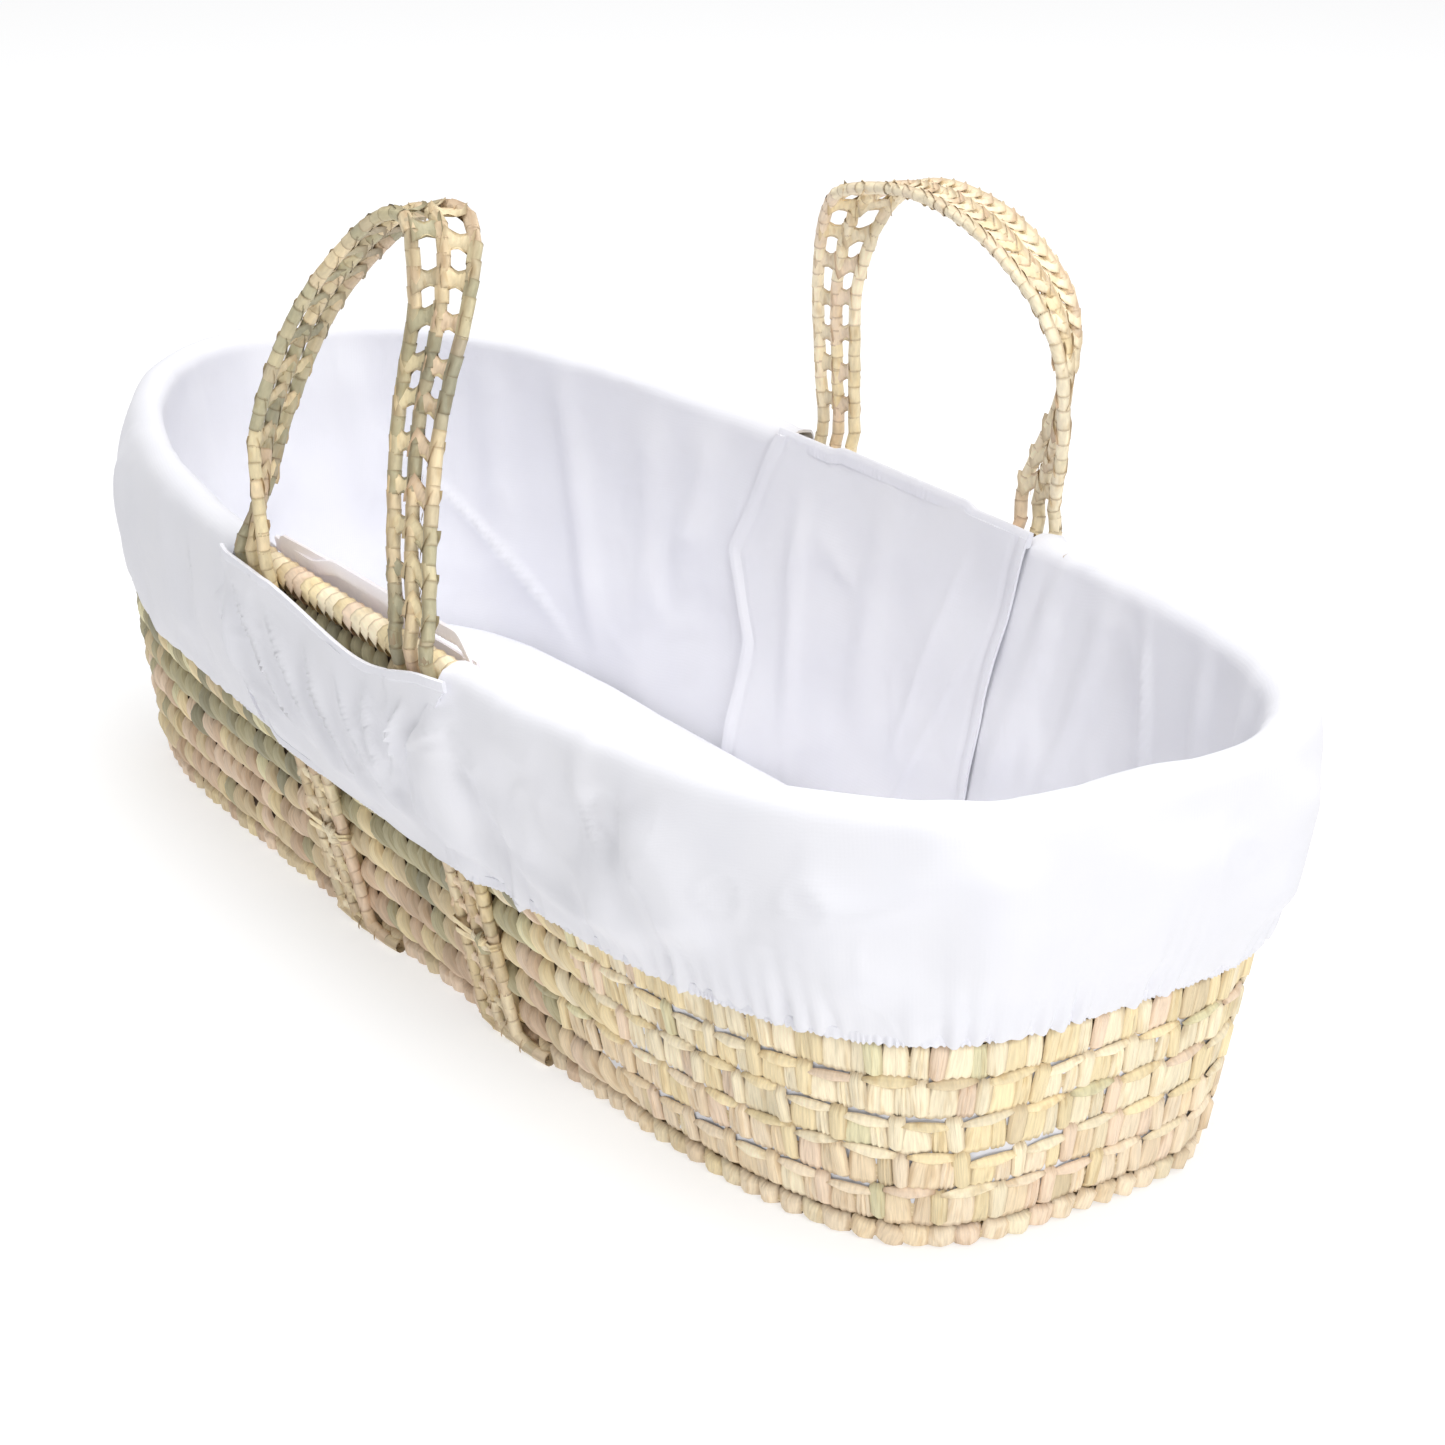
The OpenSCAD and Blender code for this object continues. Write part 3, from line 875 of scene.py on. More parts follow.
    def lace(self) -> Pattern:
        """A leaf that lies over two neighbouring cords and is drawn in thin between them."""
        columns = 8
        bench = self.strip("lace", columns, 4)
        bench.pick(lambda point: True).move(y=-0.5)
        bench.pick(lambda point: abs(point.y) > 0.4).move(z=-0.35)
        for number in range(columns + 1):
            across = number / columns - 0.5
            width = 0.48 + 0.52 * (2 * abs(across)) ** 1.4
            column = bench.pick(lambda point, x=across: abs(point.x - x) < 0.02)
            column.scale(y=width).move(z=1.02 * (2 * abs(across)) ** 2)
        return Pattern.taken_from(bench.done())


# ---------------------------------------------------------------- the woven body


KNOT = 0.0125
WEB_IN = 0.0012


@dataclass
class WovenWall:
    """The coiled rows of the wall: a core of stems in each, with leaves wrapped round it.

    Attributes:
        patterns: The leaf shapes by name.
        leaf: The leaf finish.
        core: The finish of the stems inside.
        bight: Width that one plump fold takes along a row.
        unit: Width of one loose unit: pleated panels and a stitch.
        tight_from: The lowest row whose loose units close right up, without top leaves.
        core_sides: Number of sides of a row's core.
        made: The finished pieces.
    """

    patterns: dict[str, Pattern]
    leaf: bpy.types.Material
    core: bpy.types.Material
    bight: float = 0.0122
    unit: float = 0.027
    tight_from: int = 5
    core_sides: int = 8
    made: list[bpy.types.Object] = field(default_factory=list)

    def core_ring(self, name: str, low: Callable[[Array], Array],
                  high: Callable[[Array], Array]) -> bpy.types.Object:
        """Makes the closed ring of stems in one row, slimmer where the weave is loose and coloured as painted
        shade where it is tight.

        Args:
            name: The object's name.
            low: Height of the row's lower edge at a turn.
            high: Height of its upper edge.

        Returns:
            The ring.
        """
        turns = np.linspace(-math.pi, math.pi, 180, endpoint=False)
        loose = openness(turns)
        bottom, top = low(turns), high(turns)
        tall = top - bottom
        middle = (bottom + top) / 2 - loose * tall * 0.09
        half = tall * (0.48 - 0.09 * loose)
        ring = []
        for side in range(self.core_sides):
            angle = (side + 0.5) * 2 * math.pi / self.core_sides
            squash = 1 / math.cos(math.pi / self.core_sides)
            off = -WALL_T / 2 + (WALL_T / 2 - 0.0007) * math.cos(angle) * squash
            ring.append(OVAL.beside(turns, off, middle + half * math.sin(angle)))
        weaver = Weaver(name)
        points = np.stack(ring + ring[:1])[::-1]
        # Painted shade: the core is deep brown where the weave is tight, so the holes between the plump folds
        # read as shadow, and wheat where it is loose.
        tone = np.array(Tone.BROWN.value) * (1 - loose)[:, None] + np.array(Tone.WHEAT.value) * loose[:, None]
        weaver.add_grid(points, True, np.broadcast_to(tone, points.shape))
        obj = weaver.finish(self.core)
        make_active(obj)
        bpy.ops.object.mode_set(mode="EDIT")
        bpy.ops.mesh.select_all(action="SELECT")
        bpy.ops.mesh.remove_doubles(threshold=1e-6)
        bpy.ops.mesh.normals_make_consistent(inside=False)
        bpy.ops.object.mode_set(mode="OBJECT")
        return obj

    def lay_plump(self, weaver: Weaver, border: float, low: Callable[[Array], Array],
                  high: Callable[[Array], Array]) -> None:
        """Lays the thick leaning folds of the tight weave along one row, up to a border of openness.

        Args:
            weaver: Takes the leaves.
            border: The openness at which the loose weave takes over.
            low: Height of the row's lower edge at a turn.
            high: Height of its upper edge.
        """
        turns = OVAL.walk(lambda turn: (low(turn) + high(turn)) / 2, 0.0, self.bight)
        turns = turns[openness(turns) < border + 0.13]
        random, count = weaver.random, len(turns)
        bottom, tall = low(turns), high(turns) - low(turns)
        places = OVAL.beside(turns, random.uniform(-0.0012, -0.0004, count), bottom - 0.06 * tall)
        axes = OVAL.directions(turns, 0.0, bottom + tall / 2)
        axes = self.tilted(axes, random.normal(0, 0.07, count))
        sizes = drawn(random, count, (self.bight, 0.98, 1.16), (tall, 1.08, 1.18), (1, 0.0115, 0.0165))
        weaver.lay(self.patterns["plump"], places, axes, sizes, leaf_tones(places, random))

    def lay_loose(self, weaver: Weaver, number: int, border: float, low: Callable[[Array], Array],
                  high: Callable[[Array], Array]) -> None:
        """Lays panels, stitches and top leaves along one row where the weave is loose and gaps show.

        Args:
            weaver: Takes the leaves.
            number: The row's number, from 1 at the bottom.
            border: The openness at which the loose weave starts.
            low: Height of the row's lower edge at a turn.
            high: Height of its upper edge.
        """
        turns = OVAL.walk(lambda turn: (low(turn) + high(turn)) / 2, 0.0, self.unit, weaver.random.random())
        turns = turns[openness(turns) >= border]
        random, count = weaver.random, len(turns)
        bottom, tall = low(turns), high(turns) - low(turns)
        axes = OVAL.directions(turns, 0.0, bottom + tall / 2)
        along = axes[:, 0]
        rise = random.normal(0, 0.05, count)
        tight = number >= self.tight_from
        slack = self.slack(turns, number) * random.uniform(0.3, 1.1, count) * (not tight)
        face = OVAL.beside(turns, -0.0004, bottom + (0.01 + 0.04 * slack) * tall)
        reach = 0.97 if tight else 0.93 - 0.26 * slack
        for shift, wide in ((-0.28, 0.5), (0.1, 0.3)):
            sizes = np.stack([
                self.unit * wide * random.uniform(0.92, 1.22, count),
                tall * (reach + random.uniform(-0.03, 0.04, count)),
                random.uniform(0.0055, 0.009, count)], axis=1)
            places = face + along * (self.unit * shift)
            weaver.lay(self.patterns["panel"], places, self.tilted(axes, random.normal(0, 0.05, count)),
                       sizes, leaf_tones(places, random))
        sizes = drawn(random, count, (self.unit, 0.27, 0.36), (tall, 1.02, 1.14), (1, 0.008, 0.011))
        places = face + along * (self.unit * 0.37)
        weaver.lay(self.patterns["stitch"], places, self.tilted(axes, random.normal(0, 0.06, count)),
                   sizes, leaf_tones(places, random))
        if tight:
            return
        sizes = drawn(random, count, (self.unit, 0.84, 1.04), (tall, 0.28, 0.38), (1, 0.007, 0.01))
        places = OVAL.beside(turns, 0.0002, bottom + (0.95 - 0.25 * slack) * tall) - along * (self.unit * 0.1)
        weaver.lay(self.patterns["lens"], places, self.tilted(axes, 0.05 + rise), sizes,
                   leaf_tones(places, random))

    @staticmethod
    def slack(turns: Array, number: int) -> Array:
        """How far a loose row stands apart, 0 to 1: most in patches on the near half of the foot end."""
        patch = smooth(-0.3, 0.7, np.sin(8 * turns + 2.1 * number))
        return patch * smooth(-1.15, -0.9, turns) * smooth(0.3, -0.3, turns)

    @staticmethod
    def tilted(axes: Array, angles: Array) -> Array:
        """Turns each set of directions about its outward one by an angle."""
        cosine, sine = np.cos(angles)[:, None], np.sin(angles)[:, None]
        along, up = axes[:, 0], axes[:, 1]
        return np.stack([along * cosine + up * sine, up * cosine - along * sine, axes[:, 2]], axis=1)

    def row(self, number: int) -> None:
        """Weaves one wall row, which stands for the frame's plain ring."""
        def low(turn: Array) -> Array:
            """Gives the height of the row's lower edge."""
            return row_z(turn, number - 1)

        def high(turn: Array) -> Array:
            """Gives the height of its upper edge."""
            return row_z(turn, number)

        name = f"woven_row_{number}"
        weaver = Weaver(name)
        border = 0.45 + 0.3 * math.sin(number * 2.4)
        self.lay_plump(weaver, border, low, high)
        self.lay_loose(weaver, number, border, low, high)
        piece = join([weaver.finish(self.leaf), self.core_ring(name + "_core", low, high)], name)
        self.keep(piece, f"wall_row_{number}")

    def foot(self) -> None:
        """Weaves the thin row that the basket stands on, wrapped in short knots."""
        def low(turn: Array) -> Array:
            """Gives the height of the foot row's lower edge."""
            return 0.0 * turn

        def high(turn: Array) -> Array:
            """Gives the height of its upper edge."""
            return 0.0 * turn + FOOT_H

        weaver = Weaver("woven_foot_row")
        turns = OVAL.walk(lambda turn: high(turn) / 2, 0.0, KNOT)
        random, count = weaver.random, len(turns)
        axes = OVAL.directions(turns, 0.0, 0.0 * turns + 0.006)
        axes = self.tilted(axes, random.normal(-0.12, 0.12, count))
        places = OVAL.beside(turns, -0.0012, 0.0 * turns + 0.0002)
        sizes = drawn(random, count, (KNOT, 1.0, 1.3), (1, 0.0112, 0.0122), (1, 0.009, 0.014))
        weaver.lay(self.patterns["stitch"], places, axes, sizes, leaf_tones(places, random))
        core = self.core_ring("foot_core", low, high)
        self.keep(join([weaver.finish(self.leaf), core], "woven_foot_row"), "foot_row")

    def rim(self) -> None:
        """Wraps the round rim coil in slanting leaves."""
        weaver = Weaver("wrapped_rim_coil")
        turns = OVAL.walk(lambda turn: OVAL.rim_z(turn) - RIM_D / 2, -WALL_T / 2, 0.0088)
        random, count = weaver.random, len(turns)
        middle = OVAL.rim_z(turns) - RIM_D / 2
        places = OVAL.beside(turns, -WALL_T / 2, middle)
        ahead = OVAL.beside(turns + 1e-4, -WALL_T / 2, OVAL.rim_z(turns + 1e-4) - RIM_D / 2)
        along = unit(ahead - places)
        out = OVAL.directions(turns, 0.0, middle)[:, 2]
        lean = 0.42 + random.normal(0, 0.05, count)
        axis = unit(along + (np.cross(along, out) * 0.6 + out * 0.35) * lean[:, None])
        first = unit(np.cross(axis, out))
        axes = np.stack([first, np.cross(axis, first), axis], axis=1)
        sizes = drawn(random, count, (RIM_D / 2, 0.95, 1.0), (RIM_D / 2, 0.95, 1.0), (1, 0.0105, 0.0118))
        tones = STRAP_LEAVES.draw(random, count)
        weaver.lay(self.patterns["wrap"], places, axes, sizes, tones)
        self.keep(weaver.finish(self.leaf), "rim_coil")

    def keep(self, piece: bpy.types.Object, node: str) -> None:
        """Makes a woven piece ride on the basket in place of a frame node."""
        self.made.append(stand_for(piece, "leaf_weave", node))

    def build(self) -> list[bpy.types.Object]:
        """Weaves every row from the floor up."""
        self.foot()
        for number in range(1, ROWS + 1):
            self.row(number)
        self.rim()
        return self.made


@dataclass
class WovenBase:
    """The flat oval base: rows of leaf laid round a middle, seen from below.

    Attributes:
        patterns: The leaf shapes by name.
        leaf: The leaf finish.
    """

    patterns: dict[str, Pattern]
    leaf: bpy.types.Material
    rows: int = 5
    row_w: float = 0.020
    thick: float = 0.010

    def row(self, number: int) -> bpy.types.Object:
        """Lays the leaves of one base row on both its faces.

        Args:
            number: The row's number, from 1 at the outside.

        Returns:
            The row.
        """
        outer = WALL_T + ROW_GAP + (number - 1) * self.row_w
        weaver = Weaver(f"woven_base_row_{number}")
        random = weaver.random
        turns = np.linspace(-math.pi, math.pi, 160, endpoint=False)
        near_edge, far_edge = outer + ROW_GAP, outer + self.row_w - ROW_GAP
        low, high = WEB_IN, self.thick - WEB_IN
        loop = [self.outline(turns, -off, z) for off, z in (
            (near_edge, low), (far_edge, low), (far_edge, high), (near_edge, high), (near_edge, low))]
        # Painted shade: the row's body under its leaves is wheat at half brightness, so the gaps between
        # leaves read as shadow.
        weaver.add_grid(np.stack(loop)[::-1], True, np.array(Tone.WHEAT.value) * 0.5)
        turns = self.even_turns(outer + self.row_w / 2)
        steps = len(turns)
        for face in (-1, 1):
            z = low if face < 0 else high
            places = self.outline(turns, -(outer + self.row_w), z)
            edge = self.outline(turns, -outer, z)
            inward = unit(edge - places)
            out = np.zeros_like(places)
            out[:, 2] = face
            along = np.cross(inward, out)
            axes = WovenWall.tilted(np.stack([along, inward, out], axis=1), random.normal(0.12, 0.06, steps))
            sizes = drawn(random, steps, (KNOT, 1.05, 1.3), (self.row_w, 0.98, 1.06), (1, 0.003, 0.0042))
            weaver.lay(self.patterns["stitch"], places, axes, sizes, LOW_LEAVES.draw(random, steps))
        return weaver.finish(self.leaf)

    def outline(self, turns: Array, off: float, z: float) -> Array:
        """Points of an oval inside the base's edge, at a height."""
        x, y = OVAL.outline(turns, 0.0, off)
        return np.stack([x, y, np.full_like(x, z)], axis=1)

    def even_turns(self, off: float) -> Array:
        """Turns that step evenly, a knot apart, round the oval that is off inside the base's edge."""
        turns = np.linspace(-math.pi, math.pi, 1440)
        along = lengths(self.outline(turns, -off, 0.0))
        steps = max(20, round(along[-1] / KNOT))
        return np.interp((np.arange(steps) + 0.5) / steps * along[-1], along, turns)

    def core(self) -> bpy.types.Object:
        """Lays straight braids side by side over the long middle of the base."""
        inset = WALL_T + ROW_GAP + self.rows * self.row_w
        weaver = Weaver("woven_base_core")
        random = weaver.random
        turns = np.linspace(-math.pi, math.pi, 96, endpoint=False)
        low, high = WEB_IN, self.thick - WEB_IN
        ring = [self.outline(turns, -off, z) for off, z in (
            (inset + 0.02, low), (inset + 0.0006, low), (inset + 0.0006, high), (inset + 0.02, high))]
        middle = [np.tile(edge.mean(axis=0), (len(turns), 1)) for edge in (ring[0], ring[3])]
        # Painted shade: the middle's body under its braids is wheat at half brightness, so the gaps between
        # them read as shadow.
        weaver.add_grid(np.stack([middle[0], *ring, middle[1]]), True, np.array(Tone.WHEAT.value) * 0.5)
        half_l, half_w = OVAL.base_half[0] - inset, OVAL.base_half[1] - inset
        braids = max(1, round(2 * half_w / 0.011))
        for braid in range(braids):
            y = (braid + 0.5) / braids * 2 * half_w - half_w
            reach = half_l * (1 - (abs(y) / half_w) ** 4) ** 0.25 - 0.002
            count = max(2, round(2 * reach / KNOT))
            x = (np.arange(count) + 0.5) / count * 2 * reach - reach
            for face in (-1, 1):
                z = low if face < 0 else high
                wide = 2 * half_w / braids
                places = np.stack([x, np.full(count, y - wide / 2), np.full(count, z)], axis=1)
                axes = np.tile(np.array([[face, 0, 0], [0, 1, 0], [0, 0, face]], float), (count, 1, 1))
                axes = WovenWall.tilted(axes, random.normal(0.35, 0.05, count))
                sizes = drawn(random, count, (KNOT, 1.0, 1.2), (wide, 1.0, 1.08), (1, 0.003, 0.0042))
                weaver.lay(self.patterns["stitch"], places, axes, sizes, LOW_LEAVES.draw(random, count))
        return weaver.finish(self.leaf)

    def build(self) -> list[bpy.types.Object]:
        """Makes the middle and the rows round it, each in place of its frame node."""
        pieces = [("base_core", self.core())]
        pieces += [(f"base_row_{number}", self.row(number)) for number in range(1, self.rows + 1)]
        return [stand_for(piece, "leaf_weave", node) for node, piece in pieces]


# ---------------------------------------------------------------- handles and straps


CORD_R = 0.00325
CORD_PITCH = 0.0145
STRAP_OFF = 0.00555
BEND_Z = 0.222
BEND_Y = 0.18555
CORD_GAP = 0.003
STRAP_TOP = 0.200
NEAR_LEGS = (-0.064, 0.098)
FAR_LEGS = (-0.073, 0.104)


@dataclass
class CordRun:
    """The line of one cord: its points, and the way that the band's face looks at each."""

    points: Array
    faces: Array

    def resampled(self, pitch: float) -> "CordRun":
        """The same line with points an even distance apart."""
        along = self.along()
        steps = max(2, round(along[-1] / pitch))
        wanted = np.linspace(0, along[-1], steps + 1)
        return CordRun(self.picked(self.points, wanted), unit(self.picked(self.faces, wanted)))

    def along(self) -> Array:
        """Distance of each point from the line's start."""
        return lengths(self.points)

    def picked(self, values: Array, wanted: Array) -> Array:
        """Values at given distances along the line."""
        along = self.along()
        return np.stack([np.interp(wanted, along, values[:, axis]) for axis in range(3)], axis=1)


@dataclass
class LeafBand:
    """A band of three leaf-wrapped cords laced side by side, as the handles and straps are.

    Attributes:
        name: The piece's name.
        runs: The three cords' lines.
        patterns: The leaf shapes by name.
        leaf: The leaf finish.
        palette: The tones of its leaves.
        lace_pitch: Distance between lacing leaves.
        lace_wide: Width of a lacing leaf where it lies over the cords.
        lace_from: Distance along the band at which the lacing starts and, from the end, stops.
        slant: How far each end of a lacing leaf is shifted along the band.
        dense: Shares of the band's length between which the lacing is close, leaving few holes.
    """

    name: str
    runs: list[CordRun]
    patterns: dict[str, Pattern]
    leaf: bpy.types.Material
    palette: Palette
    lace_pitch: float = 0.0195
    lace_wide: float = 0.0155
    lace_from: float = 0.012
    slant: float = 0.002
    dense: tuple[float, float] = (0.0, 0.0)

    def weave(self) -> bpy.types.Object:
        """Wraps the cords, laces them together and makes one piece."""
        weaver = Weaver(self.name)
        for number, run in enumerate(self.runs):
            self.wrap_cord(weaver, run, number)
        for first, second in zip(self.runs, self.runs[1:]):
            self.lace_pair(weaver, first, second)
        return weaver.finish(self.leaf)

    def wrap_cord(self, weaver: Weaver, run: CordRun, number: int) -> None:
        """Lays sleeves of leaf along one cord, over a thin core.

        Args:
            weaver: Takes the leaves.
            run: The cord's line.
            number: The cord's place in the band, from 0.
        """
        random = weaver.random
        fine = run.resampled(0.004)
        ahead = unit(np.gradient(fine.points, axis=0))
        side = unit(np.cross(ahead, fine.faces))
        angles = -np.arange(8) * math.pi / 4
        core = np.stack([
            fine.points + CORD_R * 0.86 * (math.cos(a) * side + math.sin(a) * np.cross(side, ahead))
            for a in angles], axis=1)
        taper = np.ones(len(core))
        taper[[0, -1]] = 0.05
        core = fine.points[:, None, :] + (core - fine.points[:, None, :]) * taper[:, None, None]
        # Painted shade: the cord's core is wheat at 0.6 brightness, so it reads as shadow between the
        # sleeves.
        weaver.add_grid(core, True, np.array(Tone.WHEAT.value) * 0.6)
        coarse = run.resampled(0.0088 if number != 1 else 0.0074)
        middle = (coarse.points[1:] + coarse.points[:-1]) / 2
        step = coarse.points[1:] - coarse.points[:-1]
        count = len(middle)
        axis = unit(step)
        face = unit((coarse.faces[1:] + coarse.faces[:-1]) / 2)
        lean = random.normal(0, 0.07, (count, 1))
        across = np.cross(axis, face)
        axis = unit(axis + across * lean)
        first = unit(np.cross(face, axis))
        axes = np.stack([first, np.cross(axis, first), axis], axis=1)
        wide = CORD_R * random.uniform(1.02, 1.08, count)
        long = np.linalg.norm(step, axis=1) * random.uniform(1.14, 1.3, count)
        sizes = np.stack([wide, wide, long], axis=1)
        weaver.lay(self.patterns["wrap"], middle, axes, sizes, self.tones(random, count))

    def lace_pair(self, weaver: Weaver, first: CordRun, second: CordRun) -> None:
        """Laces two neighbouring cords with leaves that lie over both, before and behind.

        Args:
            weaver: Takes the leaves.
            first: One cord's line.
            second: Its neighbour's.
        """
        random = weaver.random
        length = min(first.along()[-1], second.along()[-1])
        count = max(1, round((length - 2 * self.lace_from) / self.lace_pitch))
        steps = np.arange(count) + 0.5
        close = steps[(steps / count > self.dense[0]) & (steps / count < self.dense[1])]
        steps = np.concatenate([steps, close + 0.5])
        share = (steps + random.normal(0, 0.06, len(steps))) / count
        count = len(share)
        share = (self.lace_from + share * (length - 2 * self.lace_from)) / length
        slant = self.slant / length
        for way in (1, -1):
            start = first.picked(first.points, (share - slant) * first.along()[-1])
            end = second.picked(second.points, (share + slant) * second.along()[-1])
            face = way * unit(first.picked(first.faces, share * first.along()[-1]))
            step = way * (end - start)
            across = unit(step)
            up = unit(np.cross(face, across))
            axes = np.stack([across, up, np.cross(across, up)], axis=1)
            sizes = np.stack([
                np.linalg.norm(step, axis=1) * 1.04, self.lace_wide * random.uniform(0.85, 1.1, count),
                CORD_R * random.uniform(1.0, 1.1, count)], axis=1)
            weaver.lay(self.patterns["lace"], (start + end) / 2 + axes[:, 2] * 0.0004, axes, sizes,
                       self.tones(random, count))

    def tones(self, random: np.random.Generator, count: int) -> Array:
        """Colours for the band's leaves, in stretches of much the same tone."""
        stretches = np.repeat(self.palette.draw(random, count // 5 + 1), 5, axis=0)[:count]
        return 0.7 * stretches + 0.3 * self.palette.draw(random, count)


@dataclass
class Handle:
    """One of the two carrying handles, with the straps that run down the wall below it.

    Attributes:
        word: Its name's first word, near or far.
        side: NEAR or FAR.
        legs: Where its legs cross the rim.
        height: Length from the bend to the top.
        lean: How far it leans over the basket, in degrees.
        arch: Points of (share of half the leg spacing, share of the height, turn of the band in degrees).
        patterns: The leaf shapes by name.
        leaf: The finish of the wrapped cords.
        tie_leaf: The finish of the ties.
        palette: The tones of the handle's leaves.
        close: Shares of its length between which its lacing is close.
        tie_z: Height of the ties.
    """

    word: str
    side: int
    legs: tuple[float, float]
    height: float
    lean: float
    arch: tuple[tuple[float, float, float], ...]
    patterns: dict[str, Pattern]
    leaf: bpy.types.Material
    tie_leaf: bpy.types.Material
    palette: Palette
    close: tuple[float, float] = (0.0, 0.0)
    tie_z: float = 0.062

    def spline(self, share: Array) -> Array:
        """Runs a smooth line through the arch's points."""
        table = np.array(self.arch)
        return curve_through(table, np.clip(share, 0, 1) * (len(table) - 1))

    def place(self, share: Array) -> Array:
        """Points of the band's middle line at shares of its length."""
        found = self.spline(share)
        up = CORD_GAP + found[:, 1] * (self.height - CORD_GAP)
        lean = math.radians(self.lean)
        left, right = self.legs
        return np.stack([
            (left + right) / 2 + found[:, 0] * (right - left) / 2,
            self.side * (BEND_Y - up * math.sin(lean)),
            BEND_Z + up * math.cos(lean)], axis=1)

    def frames(self, share: Array) -> tuple[Array, Array, Array]:
        """The band's middle points, width directions and face directions."""
        step = 0.002
        middle = np.clip(share, step, 1 - step)
        ahead = unit(self.place(middle + step) - self.place(middle - step))
        ahead[share <= 0] = (0, 0, 1)
        ahead[share >= 1] = (0, 0, -1)
        turn = np.radians(self.spline(share)[:, 2])
        wide = np.stack([np.cos(turn), np.sin(turn), np.zeros_like(turn)], axis=1)
        across = unit(wide - (wide * ahead).sum(axis=1, keepdims=True) * ahead)
        return self.place(share), across, np.cross(ahead, across)

    def leg_points(self, x: float, k: float, heights: Array) -> Array:
        """Points of a strap's cord down the wall's face, k pitches to its right."""
        turn = OVAL.turn_at(x, self.side)
        points = OVAL.beside(turn, STRAP_OFF, heights)
        points[:, 0] += k * CORD_PITCH
        return points

    def handle_runs(self) -> list[CordRun]:
        """The three cords from under the flap, over the bend and round the arch, to the other leg."""
        share = np.linspace(0, 1, 260)
        middle, across, face = self.frames(share)
        heights = np.linspace(STRAP_TOP, BEND_Z - 0.001, 8)
        outward = np.array([0.0, float(self.side), 0.0])
        runs = []
        for k in (-1, 0, 1):
            arch = middle + k * CORD_PITCH * across
            left = self.leg_points(self.legs[0], k * np.sign(across[0, 0]), heights)
            right = self.leg_points(self.legs[1], k * np.sign(across[-1, 0]), heights)
            points = np.concatenate([left, arch, right[::-1]])
            first = outward * np.sign(face[0] @ outward)
            last = outward * np.sign(face[-1] @ outward)
            faces = np.concatenate([
                np.tile(first, (len(left), 1)), face, np.tile(last, (len(right), 1))])
            runs.append(CordRun(points, faces))
        return runs

    def strap_runs(self, x: float) -> list[CordRun]:
        """A strap's three cords, from under the flap down to where they turn along the foot."""
        outward = np.array([0.0, float(self.side), 0.0])
        runs = []
        for k in (-1, 0, 1):
            heights = np.linspace(STRAP_TOP + 0.003, 0.014, 24)
            down = self.leg_points(x, k, heights)
            low = self.leg_points(x, k, np.array([0.0075, 0.0048, 0.0042, 0.0042]))
            low[:, 0] += np.array([0.0015, 0.006, 0.013, 0.021 + 0.004 * k])
            low[:, 1] -= self.side * np.array([0.0, 0.001, 0.002, 0.003])
            points = np.concatenate([down, low])
            runs.append(CordRun(points, np.tile(outward, (len(points), 1))))
        return runs

    def strap(self, x: float, leg: str) -> bpy.types.Object:
        """Makes the strap below one leg.

        Args:
            x: Where the leg crosses the rim.
            leg: left or right.

        Returns:
            The strap.
        """
        name = f"{self.word}_{leg}_strap"
        band = LeafBand(f"{name}_laced", self.strap_runs(x), self.patterns, self.leaf, STRAP_LEAVES,
                        lace_pitch=0.016, lace_wide=0.0085)
        return stand_for(band.weave(), "leaf_strap", name)

    def tie(self, x: float, leg: str) -> bpy.types.Object:
        """Makes the leaf that ties a strap to the wall: two turns and a knot.

        Args:
            x: Where the leg crosses the rim.
            leg: left or right.

        Returns:
            The tie.
        """
        name = f"{self.word}_{leg}_tie"
        weaver = Weaver(f"{name}_knotted")
        turn = OVAL.turn_at(x, self.side)
        wide, deep = CORD_PITCH + CORD_R + 0.001, STRAP_OFF + CORD_R + 0.0009
        for lift, slope in ((-0.0016, 0.10), (0.0016, -0.07)):
            corners = np.array([
                (-wide, 0.0012), (-wide, deep * 0.6), (-wide * 0.93, deep), (-wide * 0.4, deep + 0.0003),
                (0.0, deep - 0.0004), (wide * 0.4, deep + 0.0003), (wide * 0.93, deep),
                (wide, deep * 0.6), (wide, 0.0012)])
            rows = []
            for edge in (-1, -0.3, 0.3, 1):
                z = self.tie_z + lift + edge * 0.0019 + corners[:, 0] * slope
                point = OVAL.beside(turn, corners[:, 1] + 0.0005 * (1 - edge * edge), z)
                point[:, 0] += corners[:, 0]
                rows.append(point)
            grid = np.stack(rows if self.side < 0 else rows[::-1])
            weaver.add_grid(grid, False, np.array(Tone.STRAW.value))
        knot = OVAL.beside(turn, deep + 0.0006, self.tie_z) + np.array([wide * 0.55, 0, 0])
        axes = np.tile(OVAL.directions(turn, 0.0, self.tie_z)[None], (3, 1, 1))
        axes = WovenWall.tilted(axes, np.array([0.5, -0.4, 1.3]))
        places = np.tile(knot, (3, 1)) - axes[:, 1] * 0.006
        sizes = np.array([[0.005, 0.012, 0.009], [0.005, 0.011, 0.008], [0.004, 0.016, 0.006]])
        weaver.lay(self.patterns["stitch"], places, axes, sizes, STRAP_LEAVES.draw(weaver.random, 3))
        return stand_for(weaver.finish(self.tie_leaf), "leaf_tie", name)

    def build(self) -> list[bpy.types.Object]:
        """Makes the handle, both straps and both ties."""
        body = f"{self.word}_handle"
        band = LeafBand(
            f"{body}_laced", self.handle_runs(), self.patterns, self.leaf, self.palette, lace_from=0.03,
            dense=self.close)
        handle = band.weave()
        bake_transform(handle)
        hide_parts(*(f"{body}_cord_{number}" for number in (1, 2, 3)), f"{body}_lacing")
        made = [handle]
        for leg, x in zip(("left", "right"), self.legs):
            made += [self.strap(x, leg), self.tie(x, leg)]
        return made


